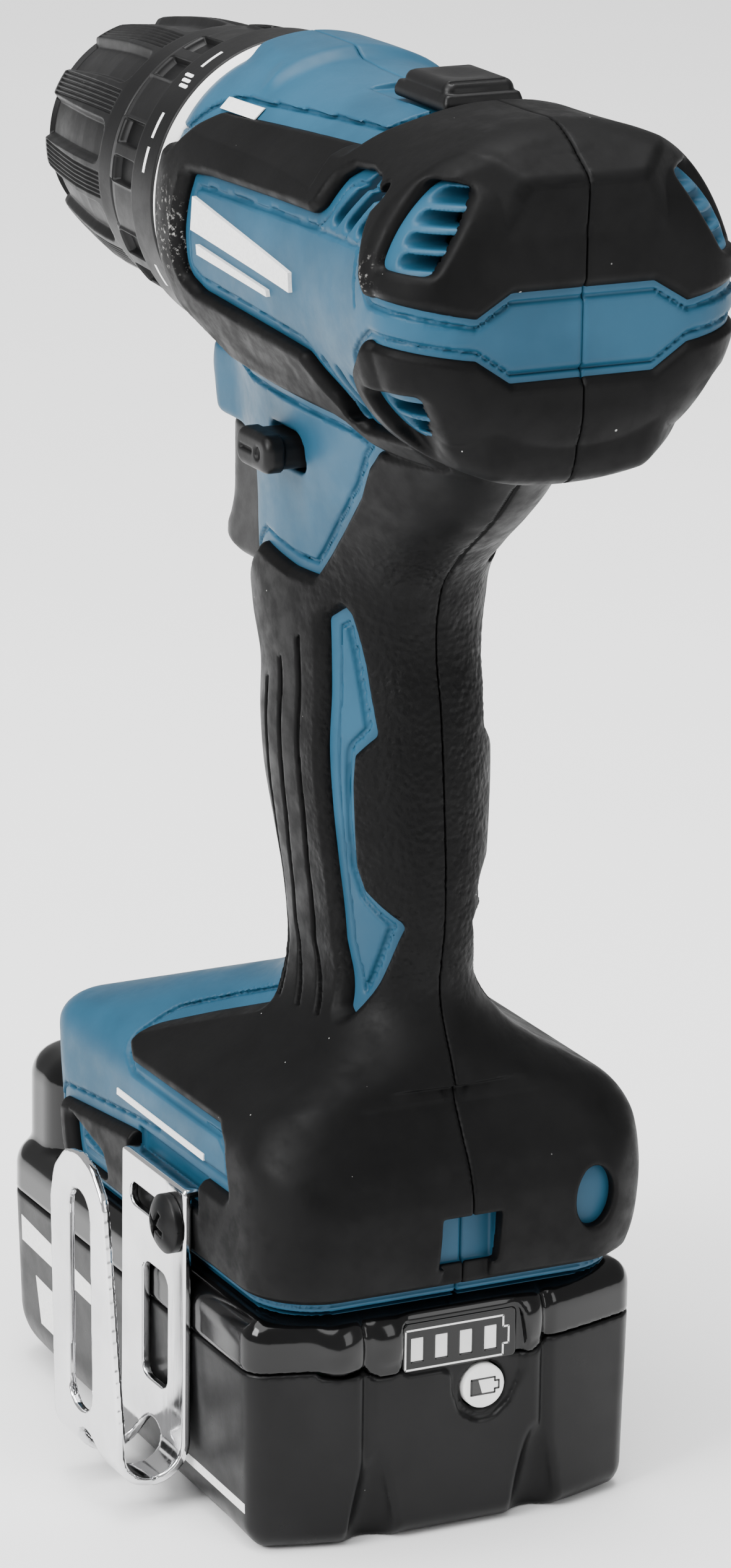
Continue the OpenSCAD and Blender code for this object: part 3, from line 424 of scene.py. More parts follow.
def louvres(x, y, z):
    """Level slots in the blue shell behind the two windows."""
    d = nothing(x, y, z)
    for height in SLOT_HEIGHTS_UP:
        slot = rounded_rectangle(x, z - height, -110, -84.9 - 0.12 * (248 - height), 1.2, 1.1)
        d = either(d, both(slot, 12.5 + (249.5 - z) * 0.5 - y))
    for i, height in enumerate(SLOT_HEIGHTS_LOW):
        slot = rounded_rectangle(x, z - height, -110, -79.4 - 1.3 * i, 1.2, 1.1)
        d = either(d, both(slot, 19 - (216 - z) * 0.4 - y))
    return d


def openings(x, y, z, side):
    """Everything that opens through both the shell and the rubber, as one field."""
    d = nothing(x, y, z)
    rooms = [room for room in ROOMS if np.max(z) > room[0][2] - 3 and np.min(z) < room[1][2] + 3]
    if side > 0:
        rooms += [room for room in CLIP_ROOM if np.min(z) < 66]
    for low, high, r in rooms:
        d = either(d, block(x, y, z, low, high, r))
    if np.max(z) > 195:
        d = either(d, both(slanted_chart(x, z), 12 - y))
    if side < 0:
        for sx, sz, depth in CASE_SCREWS:
            hole = both(np.hypot(x - sx, z - sz) - 3.8, depth - 2.2 - y)
            d = either(d, hole)
    return d


def inner_space(x, y, z):
    """Hollow inside the head, seen through the louvres."""
    reach = np.interp(x, [-92, -91.6, -87.2, -79, -47, -46, 12], [0, 16.8, 23.6, 25.9, 25.9, 24.2, 24.2])
    d = np.hypot(y, z - AXIS) - reach
    return both(d, -91.6 - x)


def shell_field(side):
    def field(x, y, z):
        core = outer_form(x, y, z, 0)
        region = rubber_region(x, y, z)
        # fine line beside each edge of the rubber, and a lighter raised border on the band
        inset = 2.3 - 1.0 * smooth_step(-74, -80, x)
        core = core + 0.4 * (1 - smooth_step(inset - 0.25, inset + 0.25, region))
        line = np.abs(region - inset) - 0.34
        groove = both(line, -0.7 - core)
        if np.max(z) > 196:
            panel_line = stroke(x, z, [(-5.4, 235.0), (-72.2, 237.4), (-74.4, 228.4)], 0.7)
            groove = np.where(x > -76, either(groove, both(panel_line, -0.4 - core)), groove)
        if np.min(z) < 50:
            groove = either(groove, both(np.abs(z - 46.4) - 0.35, -0.6 - core))
        core = cut(core, groove, 0.15)
        core = cut(core, openings(x, y, z, side), 0.45)
        if np.max(z) > 196:
            ring_room = both(np.hypot(y, z - AXIS) - 28.1, 13.5 - x)
            core = both(core, -ring_room)
            core = cut(core, louvres(x, y, z), 0.3)
            core = both(core, -inner_space(x, y, z))
        return round_max(core, 0.03 - y, 0.12)
    return field


def rubber_field(side):
    def field(x, y, z):
        core = outer_form(x, y, z, 0)
        outer = outer_form(x, y, z, RUBBER)
        if np.max(z) > 190:
            faceted = round_max(outer, head_facets(x, y, z), 2.4)
            outer = np.where(z > 184, either(faceted, core - 0.9), outer)
        region = rubber_region(x, y, z)
        # the edge falls away in a bevel, widest inside the front arch
        bevel = 0.62 * region + outer * 0.78 + 0.95
        d = round_max(both(outer, bevel * 0.9), region, 0.7)
        if np.max(z) > 190:
            crease = plane(x, y, z, (0, 0.62, 0.78), (0, 29.9, 241.6))
            d = np.where((x > -50) & (z > 232), both(d, crease), d)
            d = round_max(d, -window_holes(x, y, z), 1.0)
        if np.max(z) > 88 and np.min(z) < 165:
            d = cut(d, both(rib_lines(x, z), -1.15 - outer, ribs_zone(x, z)), 0.35)
        gap = 0.0 if np.min(z) < 62 else 0.25
        d = cut(d, openings(x, y, z, side) - gap, 0.5)
        if side < 0 and np.min(z) < 70:
            recess = both((np.hypot((y - 24.4) / 3.8, (z - 61) / 5.7) - 1) * 3.8, x + 50)
            d = round_max(d, -recess, 0.8)
        d = both(d, -(core + 1.1))
        return round_max(d, 0.04 - y, 0.15)
    return field


RIB_Z = [125, 114, 104.7, 98, 90]
RIB_PATHS = [[(-17.2, 153.5), (-18.1, 136.6), *zip((-18.4, -17.3, -17.3, -20, -25.8), RIB_Z)],
             [(-24.2, 158.6), (-25.0, 138.5), (-25.9, 127), (-25.3, 116), (-25.7, 102.8), (-28, 98),
              (-32.7, 90)],
             [(-10.6, 149.0), (-11.0, 136.6), *zip((-11.0, -10.0, -10.0, -12.5, -18), RIB_Z)]]
RIB_ZONE = [(-28.4, 161.6), (-10.6, 147.6), (10, 134), (10, 88), (-17, 90.6), (-36.4, 91.4), (-33.2, 105),
            (-32.6, 119), (-31.2, 145)]

RIB_SPAN = (-60, 20, 84, 170)
rib_lines = chart(lambda x, z: either(*(stroke(x, z, path, 1.3) for path in RIB_PATHS)), *RIB_SPAN)
ribs_zone = chart(lambda x, z: outline(x, z, RIB_ZONE, 0.6), *RIB_SPAN)

# ---------------------------------------------------------------- turning a field into a mesh

CORNERS = [(i, j, k) for i in (0, 1) for j in (0, 1) for k in (0, 1)]
EDGES = [(a, b) for a in range(8) for b in range(a + 1, 8)
         if sum(abs(p - q) for p, q in zip(CORNERS[a], CORNERS[b])) == 1]
LAYERS = 20


def sample(field, points):
    """The field at scattered points, taken in bands of height."""
    order = np.argsort(points[:, 2], kind="stable")
    values = np.empty(len(points))
    for part in np.array_split(order, max(1, len(points) // 30000)):
        p = points[part]
        values[part] = field(p[:, 0], p[:, 1], p[:, 2])
    return values


def surface(field, low, high, step):
    """Vertices in mm and four-sided faces of the surface where the field is zero."""
    axes = [np.arange(l, h + step, step) for l, h in zip(low, high)]
    x, y = axes[0][:, None, None], axes[1][None, :, None]
    shape = (len(axes[0]), len(axes[1]))
    bands = []
    for k in range(0, len(axes[2]), LAYERS):
        z = axes[2][None, None, k:k + LAYERS]
        bands.append(np.broadcast_to(field(x, y, z), shape + (z.size,)).astype(np.float32))
    values = np.concatenate(bands, axis=2)
    inside = values < 0
    cells = tuple(n - 1 for n in values.shape)
    count = np.zeros(cells, np.uint8)
    for i, j, k in CORNERS:
        count += inside[i:i + cells[0], j:j + cells[1], k:k + cells[2]]
    active = (count > 0) & (count < 8)
    place = np.argwhere(active)
    index = np.full(cells, -1, np.int64)
    index[active] = np.arange(len(place))
    corner = [values[tuple((place + c).T)] for c in CORNERS]
    total, hits = np.zeros((len(place), 3)), np.zeros(len(place))
    for a, b in EDGES:
        crosses = (corner[a] < 0) != (corner[b] < 0)
        t = np.where(crosses, corner[a] / np.where(crosses, corner[a] - corner[b], 1), 0)[:, None]
        at = np.array(CORNERS[a]) + t * (np.array(CORNERS[b]) - np.array(CORNERS[a]))
        total += np.where(crosses[:, None], at, 0)
        hits += crosses
    points = np.array(low) + step * (place + total / hits[:, None])
    f = sample(field, points)
    slope = np.stack([sample(field, points + d) - f for d in 0.05 * np.eye(3)], axis=1) / 0.05
    move = -f[:, None] * slope / np.maximum((slope ** 2).sum(1), 0.2)[:, None]
    size = np.linalg.norm(move, axis=1)[:, None]
    points += move * np.minimum(1, 0.35 * step / np.maximum(size, 1e-9))
    faces = []
    for axis in range(3):
        a, b = (axis + 1) % 3, (axis + 2) % 3
        first = np.take(inside, range(inside.shape[axis] - 1), axis=axis)
        second = np.take(inside, range(1, inside.shape[axis]), axis=axis)
        at = np.argwhere(first != second)
        keep = (at[:, a] > 0) & (at[:, b] > 0) & (at[:, a] < cells[a]) & (at[:, b] < cells[b])
        at = at[keep]
        ea, eb = np.eye(3, dtype=int)[a], np.eye(3, dtype=int)[b]
        ring = np.stack([index[tuple((at - o).T)] for o in (ea + eb, eb, 0 * ea, ea)], axis=1)
        flip = ~first[tuple(at.T)]
        ring[flip] = ring[flip][:, ::-1]
        faces.append(ring)
    faces = np.concatenate(faces)
    return points, faces[(faces >= 0).all(1)]


def add_object(name, data):
    made = bpy.data.objects.new(name, data)
    bpy.context.scene.collection.objects.link(made)
    return made


def mesh_object(name, points, faces, material):
    """A mesh object from points in mm and faces of equal size."""
    mesh = bpy.data.meshes.new(name)
    faces = np.asarray(faces)
    sides = faces.shape[1]
    mesh.vertices.add(len(points))
    mesh.vertices.foreach_set("co", (np.asarray(points) * MM).astype(np.float32).ravel())
    mesh.loops.add(faces.size)
    mesh.loops.foreach_set("vertex_index", faces.astype(np.int32).ravel())
    mesh.polygons.add(len(faces))
    mesh.polygons.foreach_set("loop_start", np.arange(0, faces.size, sides, dtype=np.int32))
    mesh.update(calc_edges=True)
    mesh.validate()
    mesh.polygons.foreach_set("use_smooth", [True] * len(mesh.polygons))
    mesh.materials.append(material)
    return add_object(name, mesh)


def outward(points, faces):
    """The same faces, turned round if they would point inwards."""
    p = np.asarray(points, float)
    volume = 0.0
    for face in (faces if isinstance(faces, list) else [faces]):
        f = np.atleast_2d(np.asarray(face))
        for k in range(1, f.shape[1] - 1):
            volume += np.einsum("ij,ij->i", p[f[:, 0]], np.cross(p[f[:, k]], p[f[:, k + 1]])).sum()
    if volume < 0:
        return [f[::-1] for f in faces] if isinstance(faces, list) else np.asarray(faces)[:, ::-1]
    return faces


def turned(name, profile, count, relief, material, body, stands_for):
    """A closed profile of (x, radius) turned round the spindle; relief() adds to the radius."""
    corners = np.asarray(profile, float)
    path = []
    for a, b in zip(corners, np.roll(corners, -1, axis=0)):
        steps = max(1, int(np.ceil(np.linalg.norm(b - a) / PROFILE_STEP)))
        path += [a + (b - a) * k / steps for k in range(steps)]
    path = np.array(path)
    turn = np.linspace(0, 2 * np.pi, count, endpoint=False)
    x, r = path[:, 0:1], path[:, 1:2]
    radius = r + relief(x, r, np.degrees(turn)[None, :])
    along = np.broadcast_to(x, radius.shape)
    points = np.stack([along, radius * np.cos(turn), AXIS + radius * np.sin(turn)], axis=2)
    i, j = np.meshgrid(np.arange(len(path)), np.arange(count), indexing="ij")
    i2, j2 = (i + 1) % len(path), (j + 1) % count
    faces = np.stack([i * count + j, i2 * count + j, i2 * count + j2, i * count + j2], axis=2).reshape(-1, 4)
    points = points.reshape(-1, 3)
    made = mesh_object(name, points, outward(points - (30, 0, AXIS), faces), material)
    return settle(made, body, stands_for)


def plates(name, loops, place, low, high, material, body):
    """Thin raised shapes: each loop of (u, v) runs from height low to high, and place() sets it in mm."""
    vertices, faces = [], []
    for loop in loops:
        n, first = len(loop), len(vertices)
        vertices += [place(u, v, low) for u, v in loop] + [place(u, v, high) for u, v in loop]
        made = [list(range(first, first + n))[::-1], list(range(first + n, first + 2 * n))]
        made += [[first + k, first + (k + 1) % n, first + n + (k + 1) % n, first + n + k] for k in range(n)]
        centre = np.mean(vertices[first:], axis=0)
        local = [[v - first for v in face] for face in made]
        turned_round = outward(np.array(vertices[first:]) - centre, local)
        faces += [[v + first for v in face] for face in turned_round]
    mesh = bpy.data.meshes.new(name)
    mesh.from_pydata([tuple(c * MM for c in v) for v in vertices], [], faces)
    mesh.materials.append(material)
    return settle(add_object(name, mesh), body)


def capsule(a, b, width, steps):
    """Loop round a straight bar with round ends."""
    a, b = np.asarray(a, float), np.asarray(b, float)
    turn = np.arctan2(*(b - a)[::-1])
    out = []
    for end, start in ((b, turn - np.pi / 2), (a, turn + np.pi / 2)):
        for k in range(steps + 1):
            at = start + np.pi * k / steps
            out.append(tuple(end + width / 2 * np.array([np.cos(at), np.sin(at)])))
    return out


def piece(name, field, low, high, step, material, body, stands_for, mirror=False):
    """Meshes a field, and ties the piece to its CAD body, finish and nodes."""
    points, faces = surface(field, low, high, step)
    if mirror:
        points = points * (1, -1, 1)
        faces = faces[:, ::-1]
    made = mesh_object(name, points, faces, material)
    return settle(made, body, stands_for)


def settle(made, body, stands_for=()):
    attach(made, body)
    if stands_for:
        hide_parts(*stands_for)
    return made

# ---------------------------------------------------------------- materials

def blank_material(name):
    """A material with its shader and object coordinates."""
    made = bpy.data.materials.new(name)
    made.use_nodes = True
    tree = made.node_tree
    shader = tree.nodes["Principled BSDF"]
    place = tree.nodes.new("ShaderNodeTexCoord").outputs["Object"]
    return made, tree, shader, place


def noise_node(tree, place, scale, detail=4, roughness=0.55, stretch=None):
    if stretch:
        mapping = tree.nodes.new("ShaderNodeMapping")
        mapping.inputs["Scale"].default_value = stretch
        tree.links.new(place, mapping.inputs["Vector"])
        place = mapping.outputs["Vector"]
    node = tree.nodes.new("ShaderNodeTexNoise")
    node.inputs["Scale"].default_value = scale
    node.inputs["Detail"].default_value = detail
    node.inputs["Roughness"].default_value = roughness
    tree.links.new(place, node.inputs["Vector"])
    return node.outputs["Fac"]


def ramp(tree, value, low, high, out_low=0.0, out_high=1.0):
    node = tree.nodes.new("ShaderNodeMapRange")
    node.interpolation_type = "SMOOTHSTEP"
    for key, number in zip(("From Min", "From Max", "To Min", "To Max"), (low, high, out_low, out_high)):
        node.inputs[key].default_value = number
    tree.links.new(value, node.inputs["Value"])
    return node.outputs["Result"]


def uneven_gloss(tree, shader, place, scale, detail, roughness, span, gloss):
    """Roughness that wanders between the two values in gloss."""
    wander = ramp(tree, noise_node(tree, place, scale, detail, roughness), *span, *gloss)
    tree.links.new(wander, shader.inputs["Roughness"])


def mottled(tree, place, scale, detail, roughness, span, a, b):
    """Colour that wanders between a and b."""
    return mix_colour(tree, ramp(tree, noise_node(tree, place, scale, detail, roughness), *span), a, b)


def maths(tree, operation, a, b):
    node = tree.nodes.new("ShaderNodeMath")
    node.operation = operation
    for socket, value in zip(node.inputs, (a, b)):
        if isinstance(value, (int, float)):
            socket.default_value = value
        else:
            tree.links.new(value, socket)
    return node.outputs[0]


def mix_colour(tree, amount, a, b):
    node = tree.nodes.new("ShaderNodeMix")
    node.data_type = "RGBA"
    for socket, value in ((node.inputs["Factor"], amount), (node.inputs[6], a), (node.inputs[7], b)):
        if isinstance(value, (tuple, float, int)):
            socket.default_value = (*value, 1) if isinstance(value, tuple) else value
        else:
            tree.links.new(value, socket)
    return node.outputs[2]


def bump_chain(tree, shader, layers):
    """Bump from several heights, as (height, strength, distance in metres)."""
    normal = None
    for height, strength, distance in layers:
        node = tree.nodes.new("ShaderNodeBump")
        node.inputs["Strength"].default_value = strength
        node.inputs["Distance"].default_value = distance
        tree.links.new(height, node.inputs["Height"])
        if normal:
            tree.links.new(normal, node.inputs["Normal"])
        normal = node.outputs["Normal"]
    tree.links.new(normal, shader.inputs["Normal"])


def specks(tree, place, cell, size, share):
    """Sparse round specks: 1 inside a speck, 0 elsewhere. Cell and size are in metres."""
    node = tree.nodes.new("ShaderNodeTexVoronoi")
    node.inputs["Scale"].default_value = 1 / cell
    tree.links.new(place, node.inputs["Vector"])
    near = ramp(tree, node.outputs["Distance"], size / cell, 0.4 * size / cell)
    split = tree.nodes.new("ShaderNodeSeparateColor")
    tree.links.new(node.outputs["Color"], split.inputs["Color"])
    chosen = maths(tree, "GREATER_THAN", split.outputs["Red"], 1 - share)
    return maths(tree, "MULTIPLY", near, chosen)


def patch(tree, place, centre, radius):
    """1 near a point in mm, fading to 0 at the radius."""
    node = tree.nodes.new("ShaderNodeVectorMath")
    node.operation = "DISTANCE"
    node.inputs[1].default_value = [v * MM for v in centre]
    tree.links.new(place, node.inputs[0])
    return ramp(tree, node.outputs["Value"], radius * MM, 0.25 * radius * MM)


def moulded(name, colour, rough, grain=0.0007, depth=0.03, dust=0.12, spread=0.07, coat=0.0):
    """Moulded plastic: fine spark texture, uneven gloss, slight mottling and a little dust."""
    made, tree, shader, place = blank_material(name)
    shade = tuple(v * 0.86 for v in colour)
    light = tuple(min(1.0, v * 1.1 + 0.002) for v in colour)
    base = mottled(tree, place, 45, 5, 0.55, (0.35, 0.68), shade, light)
    dot = specks(tree, place, 0.0045, 0.00011, dust)
    base = mix_colour(tree, maths(tree, "MULTIPLY", dot, 0.5), base, (0.6, 0.6, 0.58))
    tree.links.new(base, shader.inputs["Base Color"])
    uneven_gloss(tree, shader, place, 130, 6, 0.65, (0.3, 0.7), (rough - spread, rough + spread))
    shader.inputs["Specular IOR Level"].default_value = 0.18
    if coat:
        shader.inputs["Coat Weight"].default_value = coat
        shader.inputs["Coat Roughness"].default_value = 0.12
    bump_chain(tree, shader, [(noise_node(tree, place, 1 / grain, 3), depth * 4, 0.00005),
                              (noise_node(tree, place, 90, 2), 0.05, 0.0004)])
    return made


def rubber_material(name):
    """Soft grip rubber: leathery on the handle, smooth on the head, dusty, with worn corners."""
    made, tree, shader, place = blank_material(name)
    split = tree.nodes.new("ShaderNodeSeparateXYZ")
    tree.links.new(place, split.inputs["Vector"])
    base = mottled(tree, place, 38, 6, 0.6, (0.3, 0.7), (0.0020, 0.0020, 0.0021), (0.0042, 0.0042, 0.0043))
    dust = maths(tree, "MAXIMUM", specks(tree, place, 0.0042, 0.00016, 0.3),
                 specks(tree, place, 0.0085, 0.0003, 0.22))
    base = mix_colour(tree, maths(tree, "MULTIPLY", dust, 0.75), base, (0.55, 0.55, 0.53))
    worn = None
    for centre, radius in WORN_SPOTS:
        spot = patch(tree, place, centre, radius)
        worn = spot if worn is None else maths(tree, "MAXIMUM", worn, spot)
    flakes = maths(tree, "MULTIPLY", worn, ramp(tree, noise_node(tree, place, 900, 6, 0.7), 0.56, 0.66))
    base = mix_colour(tree, maths(tree, "MULTIPLY", flakes, 0.7), base, (0.5, 0.49, 0.47))
    tree.links.new(base, shader.inputs["Base Color"])
    uneven_gloss(tree, shader, place, 220, 6, 0.6, (0.3, 0.72), (0.42, 0.62))
    shader.inputs["Specular IOR Level"].default_value = 0.09
    low = ramp(tree, split.outputs["Z"], 0.092, 0.104)
    high = ramp(tree, split.outputs["Z"], 0.186, 0.166)
    back = ramp(tree, split.outputs["X"], -0.020, -0.038)
    leather = maths(tree, "MULTIPLY", maths(tree, "MULTIPLY", low, high), back)
    cells = tree.nodes.new("ShaderNodeTexVoronoi")
    cells.feature = "SMOOTH_F1"
    cells.inputs["Scale"].default_value = 900
    tree.links.new(place, cells.inputs["Vector"])
    wrinkle = noise_node(tree, place, 520, 5, 0.6, (1.0, 1.0, 0.72))
    leather_height = maths(tree, "MULTIPLY", leather, maths(tree, "ADD", wrinkle, cells.outputs["Distance"]))
    bump_chain(tree, shader, [(leather_height, 0.85, 0.00035),
                              (noise_node(tree, place, 1500, 3), 0.12, 0.00008),
                              (noise_node(tree, place, 70, 3), 0.10, 0.0005)])
    return made


def metal(name, colour, rough, scratch=0.05, stretch=(1, 1, 1), spread=0.05):
    """Worked metal: directional scratches, patchy gloss and faint stains."""
    made, tree, shader, place = blank_material(name)
    base = mottled(tree, place, 60, 6, 0.6, (0.35, 0.75), colour, tuple(v * 0.8 for v in colour))
    tree.links.new(base, shader.inputs["Base Color"])
    shader.inputs["Metallic"].default_value = 1.0
    lines = noise_node(tree, place, 900, 4, 0.6, stretch)
    gloss = ramp(tree, lines, 0.3, 0.75, max(rough - spread, 0.02), rough + spread)
    tree.links.new(gloss, shader.inputs["Roughness"])
    bump_chain(tree, shader, [(lines, scratch, 0.00005), (noise_node(tree, place, 160, 2), 0.06, 0.0002)])
    return made


def print_ink(name, colour):
    """Printed mark: slightly uneven ink."""
    made, tree, shader, place = blank_material(name)
    base = mottled(tree, place, 1800, 4, 0.55, (0.3, 0.7), tuple(v * 0.88 for v in colour), colour)
    tree.links.new(base, shader.inputs["Base Color"])
    uneven_gloss(tree, shader, place, 400, 4, 0.55, (0.3, 0.7), (0.35, 0.5))
    bump_chain(tree, shader, [(noise_node(tree, place, 2500, 2), 0.15, 0.00003)])
    return made


WORN_SPOTS = [((4.5, 29, 226), 11), ((-79, 31, 233), 7)]
BLUE = (0.0135, 0.064, 0.112)

blue = moulded("blue_plastic", BLUE, 0.46, depth=0.05, spread=0.06)
rubber = rubber_material("grip_rubber")
black = moulded("black_plastic", (0.0035, 0.0035, 0.0037), 0.42, depth=0.06, dust=0.25)
satin = moulded("battery_satin", (0.0028, 0.0028, 0.0030), 0.34, depth=0.04, dust=0.2)
gloss = moulded("black_gloss", (0.0012, 0.0012, 0.0013), 0.12, depth=0.015, dust=0.2, spread=0.04, coat=0.35)
chrome = metal("chrome_steel", (0.80, 0.80, 0.81), 0.13, 0.03, (1, 0.3, 0.08), 0.06)
steel = metal("steel", (0.46, 0.46, 0.47), 0.3, 0.12, (0.1, 1, 1))
dark_steel = metal("dark_steel", (0.10, 0.10, 0.105), 0.36, 0.12, (0.1, 1, 1))
cast = metal("cast_aluminium", (0.52, 0.53, 0.55), 0.5, 0.3, (1, 1, 1), 0.1)
copper = metal("copper", (0.62, 0.26, 0.11), 0.3, 0.1, (0.1, 1, 1))
board = moulded("circuit_board", (0.012, 0.11, 0.045), 0.3, grain=0.0012, depth=0.06)
pale = moulded("pale_plastic", (0.80, 0.80, 0.79), 0.38, dust=0.1)
wrap = moulded("green_wrap", (0.03, 0.24, 0.12), 0.3)
lens = moulded("lamp_lens", (0.78, 0.78, 0.68), 0.15, dust=0.1)
ink = print_ink("white_print", (0.86, 0.86, 0.85))
ink_dark = print_ink("dark_print", (0.02, 0.02, 0.02))

BY_SLOT = {"blue_plastic": blue, "grip_rubber": rubber, "black_plastic": black, "black_gloss": gloss,
           "chrome_steel": chrome, "steel": steel, "dark_steel": dark_steel, "cast_aluminium": cast,
           "copper": copper, "circuit_board": board, "pale_plastic": pale, "green_wrap": wrap,
           "lamp_lens": lens}
for entry in frame["record"]["subparts"]:
    node = frame["nodes"][entry["node"]]
    node.data.materials.clear()
    node.data.materials.append(BY_SLOT[entry["material_slot"]])

# ---------------------------------------------------------------- body shells and rubber

BODY_LOW, BODY_HIGH = (-98.5, -1.0, 43.0), (46.5, 39.6, 260.6)

for side, hand in ((1, "left"), (-1, "right")):
    piece("shell_" + hand, shell_field(side), BODY_LOW, BODY_HIGH, STEP, blue, "tool",
          ("housing_" + hand,), mirror=side < 0)
    piece("rubber_" + hand, rubber_field(side), BODY_LOW, BODY_HIGH, STEP, rubber, "tool",
          ("overmould_" + hand,), mirror=side < 0)

# ---------------------------------------------------------------- chuck sleeve, torque ring and marker ring

FLUTE_FIRST, RIDGE_FIRST, PITCH, NOTCH_PITCH = 12, 30, 36, 45


def off_centre(degrees, first, pitch):
    """Degrees from the nearest of a ring of evenly spaced places."""
    return (degrees - first + pitch / 2) % pitch - pitch / 2


def sleeve_relief(x, r, degrees):
    """Ten rounded flutes, with six fine grooves on the land between each pair."""
    flute_arc = np.radians(off_centre(degrees, FLUTE_FIRST, PITCH)) * r
    flute = rounded_rectangle(x, flute_arc, 43.8, 95, 4.0, 2.6)
    sink = 1.75 * smooth_step(0.35, -1.0, flute)
    ridge_arc = np.radians(off_centre(degrees, RIDGE_FIRST, PITCH)) * r
    zone = both(np.abs(ridge_arc) - 2.55, slab(x, 43.6, 74.6))
    wave = 0.5 - 0.5 * np.cos(2 * np.pi * (ridge_arc + 2.55) / 0.85)
    sink = sink + 0.42 * wave * smooth_step(0.1, -0.2, zone)
    return np.where((r > 19.7) & (x > 38.4), -sink, 0.0)


SLEEVE = [(38.2, 22.2), (38.2, 24.1), (38.6, 24.5), (43, 24.7), (50, 24.6), (56, 24.2), (62, 23.4),
          (69, 22.3), (74, 21.4), (76.2, 20.7), (76.9, 19.9), (77, 19.2), (77, 14.8), (76.6, 14.6),
          (75, 16.1), (60, 20.5), (48, 21.9)]
RING = [(13.8, 21.4), (13.8, 26.9), (14.4, 27.6), (22.6, 27.7), (23.3, 27.3), (23.9, 26.9), (33.6, 26.5),
        (34.2, 26.1), (36.4, 25.6), (37.3, 25.0), (37.6, 24.3), (37.6, 15.0), (33, 15.0), (33, 21.4)]


def ring_relief(x, r, degrees):
    """Square finger notches in pairs, in front of the printed flange."""
    sink = 0.0
    for place in (6, 21):
        arc = np.radians(off_centre(degrees, place, NOTCH_PITCH)) * r
        notch = rounded_rectangle(x, arc, 24.6, 33.2, 2.3, 0.4)
        sink = sink + 1.5 * smooth_step(0.18, -0.22, notch)
    land = np.radians(off_centre(degrees, 36, NOTCH_PITCH)) * r
    sink = sink + 0.5 * smooth_step(0.4, -0.4, rounded_rectangle(x, land, 24.2, 40, 4.2, 0.5))
    return np.where(r > 24.2, -sink, 0.0)


turned("sleeve_grip", SLEEVE, 1440, sleeve_relief, black, "sleeve",
       ("chuck_sleeve",))
turned("ring_grip", RING, 1080, ring_relief, black, "torque_ring",
       ("torque_ring",))
MARKER = [(11.12, 21.5), (11.12, 26.1), (11.4, 26.5), (13.0, 27.5), (13.4, 27.6), (13.4, 21.5)]
turned("marker_band", MARKER, 240, lambda x, r, degrees: 0 * degrees, pale, "tool",
       ("marker_ring",))


PRINT_R, SCALE_X, SCALE_PITCH = 27.62, 18.4, 45


def on_flange(x, degrees, height):
    r, t = PRINT_R + height, math.radians(degrees)
    return (x, r * math.cos(t), AXIS + r * math.sin(t))


def arc_bar(x, start, end, width):
    """Loops of short straight bars that follow an arc round the flange."""
    cuts = np.linspace(start, end, 7)
    return [[(x - width / 2, a), (x + width / 2, a), (x + width / 2, b), (x - width / 2, b)]
            for a, b in zip(cuts[:-1], cuts[1:])]


marks = []
for k in range(8):
    turn = SCALE_PITCH * k
    marks += arc_bar(SCALE_X, 9.5 + turn, 19 + turn, 0.85)
    if k % 2:
        marks += arc_bar(SCALE_X, -22.5 + turn, -12.5 + turn, 0.85)
plates("scale_dashes", marks, on_flange, -0.15, 0.06, ink, "torque_ring")
PIP = [(-1.3, -0.75), (1.3, -0.75), (1.6, 0), (1.3, 0.75), (-1.3, 0.75), (-1.6, 0)]
dots = [[(18.2 + 0.55 * k + along, 44.6 + 2.4 * k + turn) for along, turn in PIP] for k in range(3)]
plates("scale_pips", dots, on_flange, -0.15, 0.06, ink, "torque_ring")

# ---------------------------------------------------------------- controls

TOP = AXIS + 26.7


def selector_field(x, y, z):
    y = np.abs(y)
    base = block(x, y, z, (-58.2, -9, TOP), (-38.8, 7.4, TOP + 2.2), 0.9)
    pad = block(x, y, z, (-57.0, -9, TOP + 1), (-40.6, 6.7, TOP + 5.0), 1.9)
    low_step = block(x, y, z, (-57.8, -9, TOP + 1.4), (-39.4, 7.1, TOP + 3.0), 0.7)
    d = round_min(smooth_min(base, low_step, 0.6), pad, 0.3)
    dish = np.sqrt((x + 48.8) ** 2 + (y * 1.1) ** 2 + (z - TOP - 19.4) ** 2) - 15.0
    d = round_max(d, -dish, 0.5)
    for at in (-55.6, -42.0):
        rib = both(np.abs(x - at) - 0.35, np.abs(z - TOP - 4.9) - 0.3)
        d = cut(d, both(rib, y - 5.4), 0.1)
    fork_seat = block(x, y, z, (-43.4, -9, TOP - 2), (-40.4, 2.4, TOP + 1.5), 0.2)
    return both(d, -fork_seat)


piece("selector_knob", selector_field, (-59.5, -8.6, TOP - 0.8), (-37.6, 8.6, TOP + 6), 0.3, black,
      "speed_selector", ("speed_selector",))


def lever_field(x, y, z):
    along = rounded_rectangle(x - LEVER_X, z - LEVER_Z, -6.6, 6.6, 3.4, 2.7)
    across = np.abs(y - LEVER_Y)
    d = round_max(along, across - 20.9, 1.5)
    waist = round_max(along + 0.5, across - 17.5, 0.4)
    d = both(d, np.where(across < 17.4, waist, d))
    for s in (1, -1):
        depth = 20.3 - (y - LEVER_Y) * s
        hollow = both(np.hypot(x - LEVER_X + 2.6 * s, z - LEVER_Z) - 1.1, depth)
        line = both(np.abs(x - LEVER_X - 2.0 * s) - 2.4, np.abs(z - LEVER_Z) - 0.35, depth)
        d = cut(d, either(hollow, line), 0.15)
    return d


piece("lever_cap", lever_field, (-28.4, -18.4, 187), (-12.6, 26, 196), 0.35, black, "direction_lever",
      ("direction_lever",))


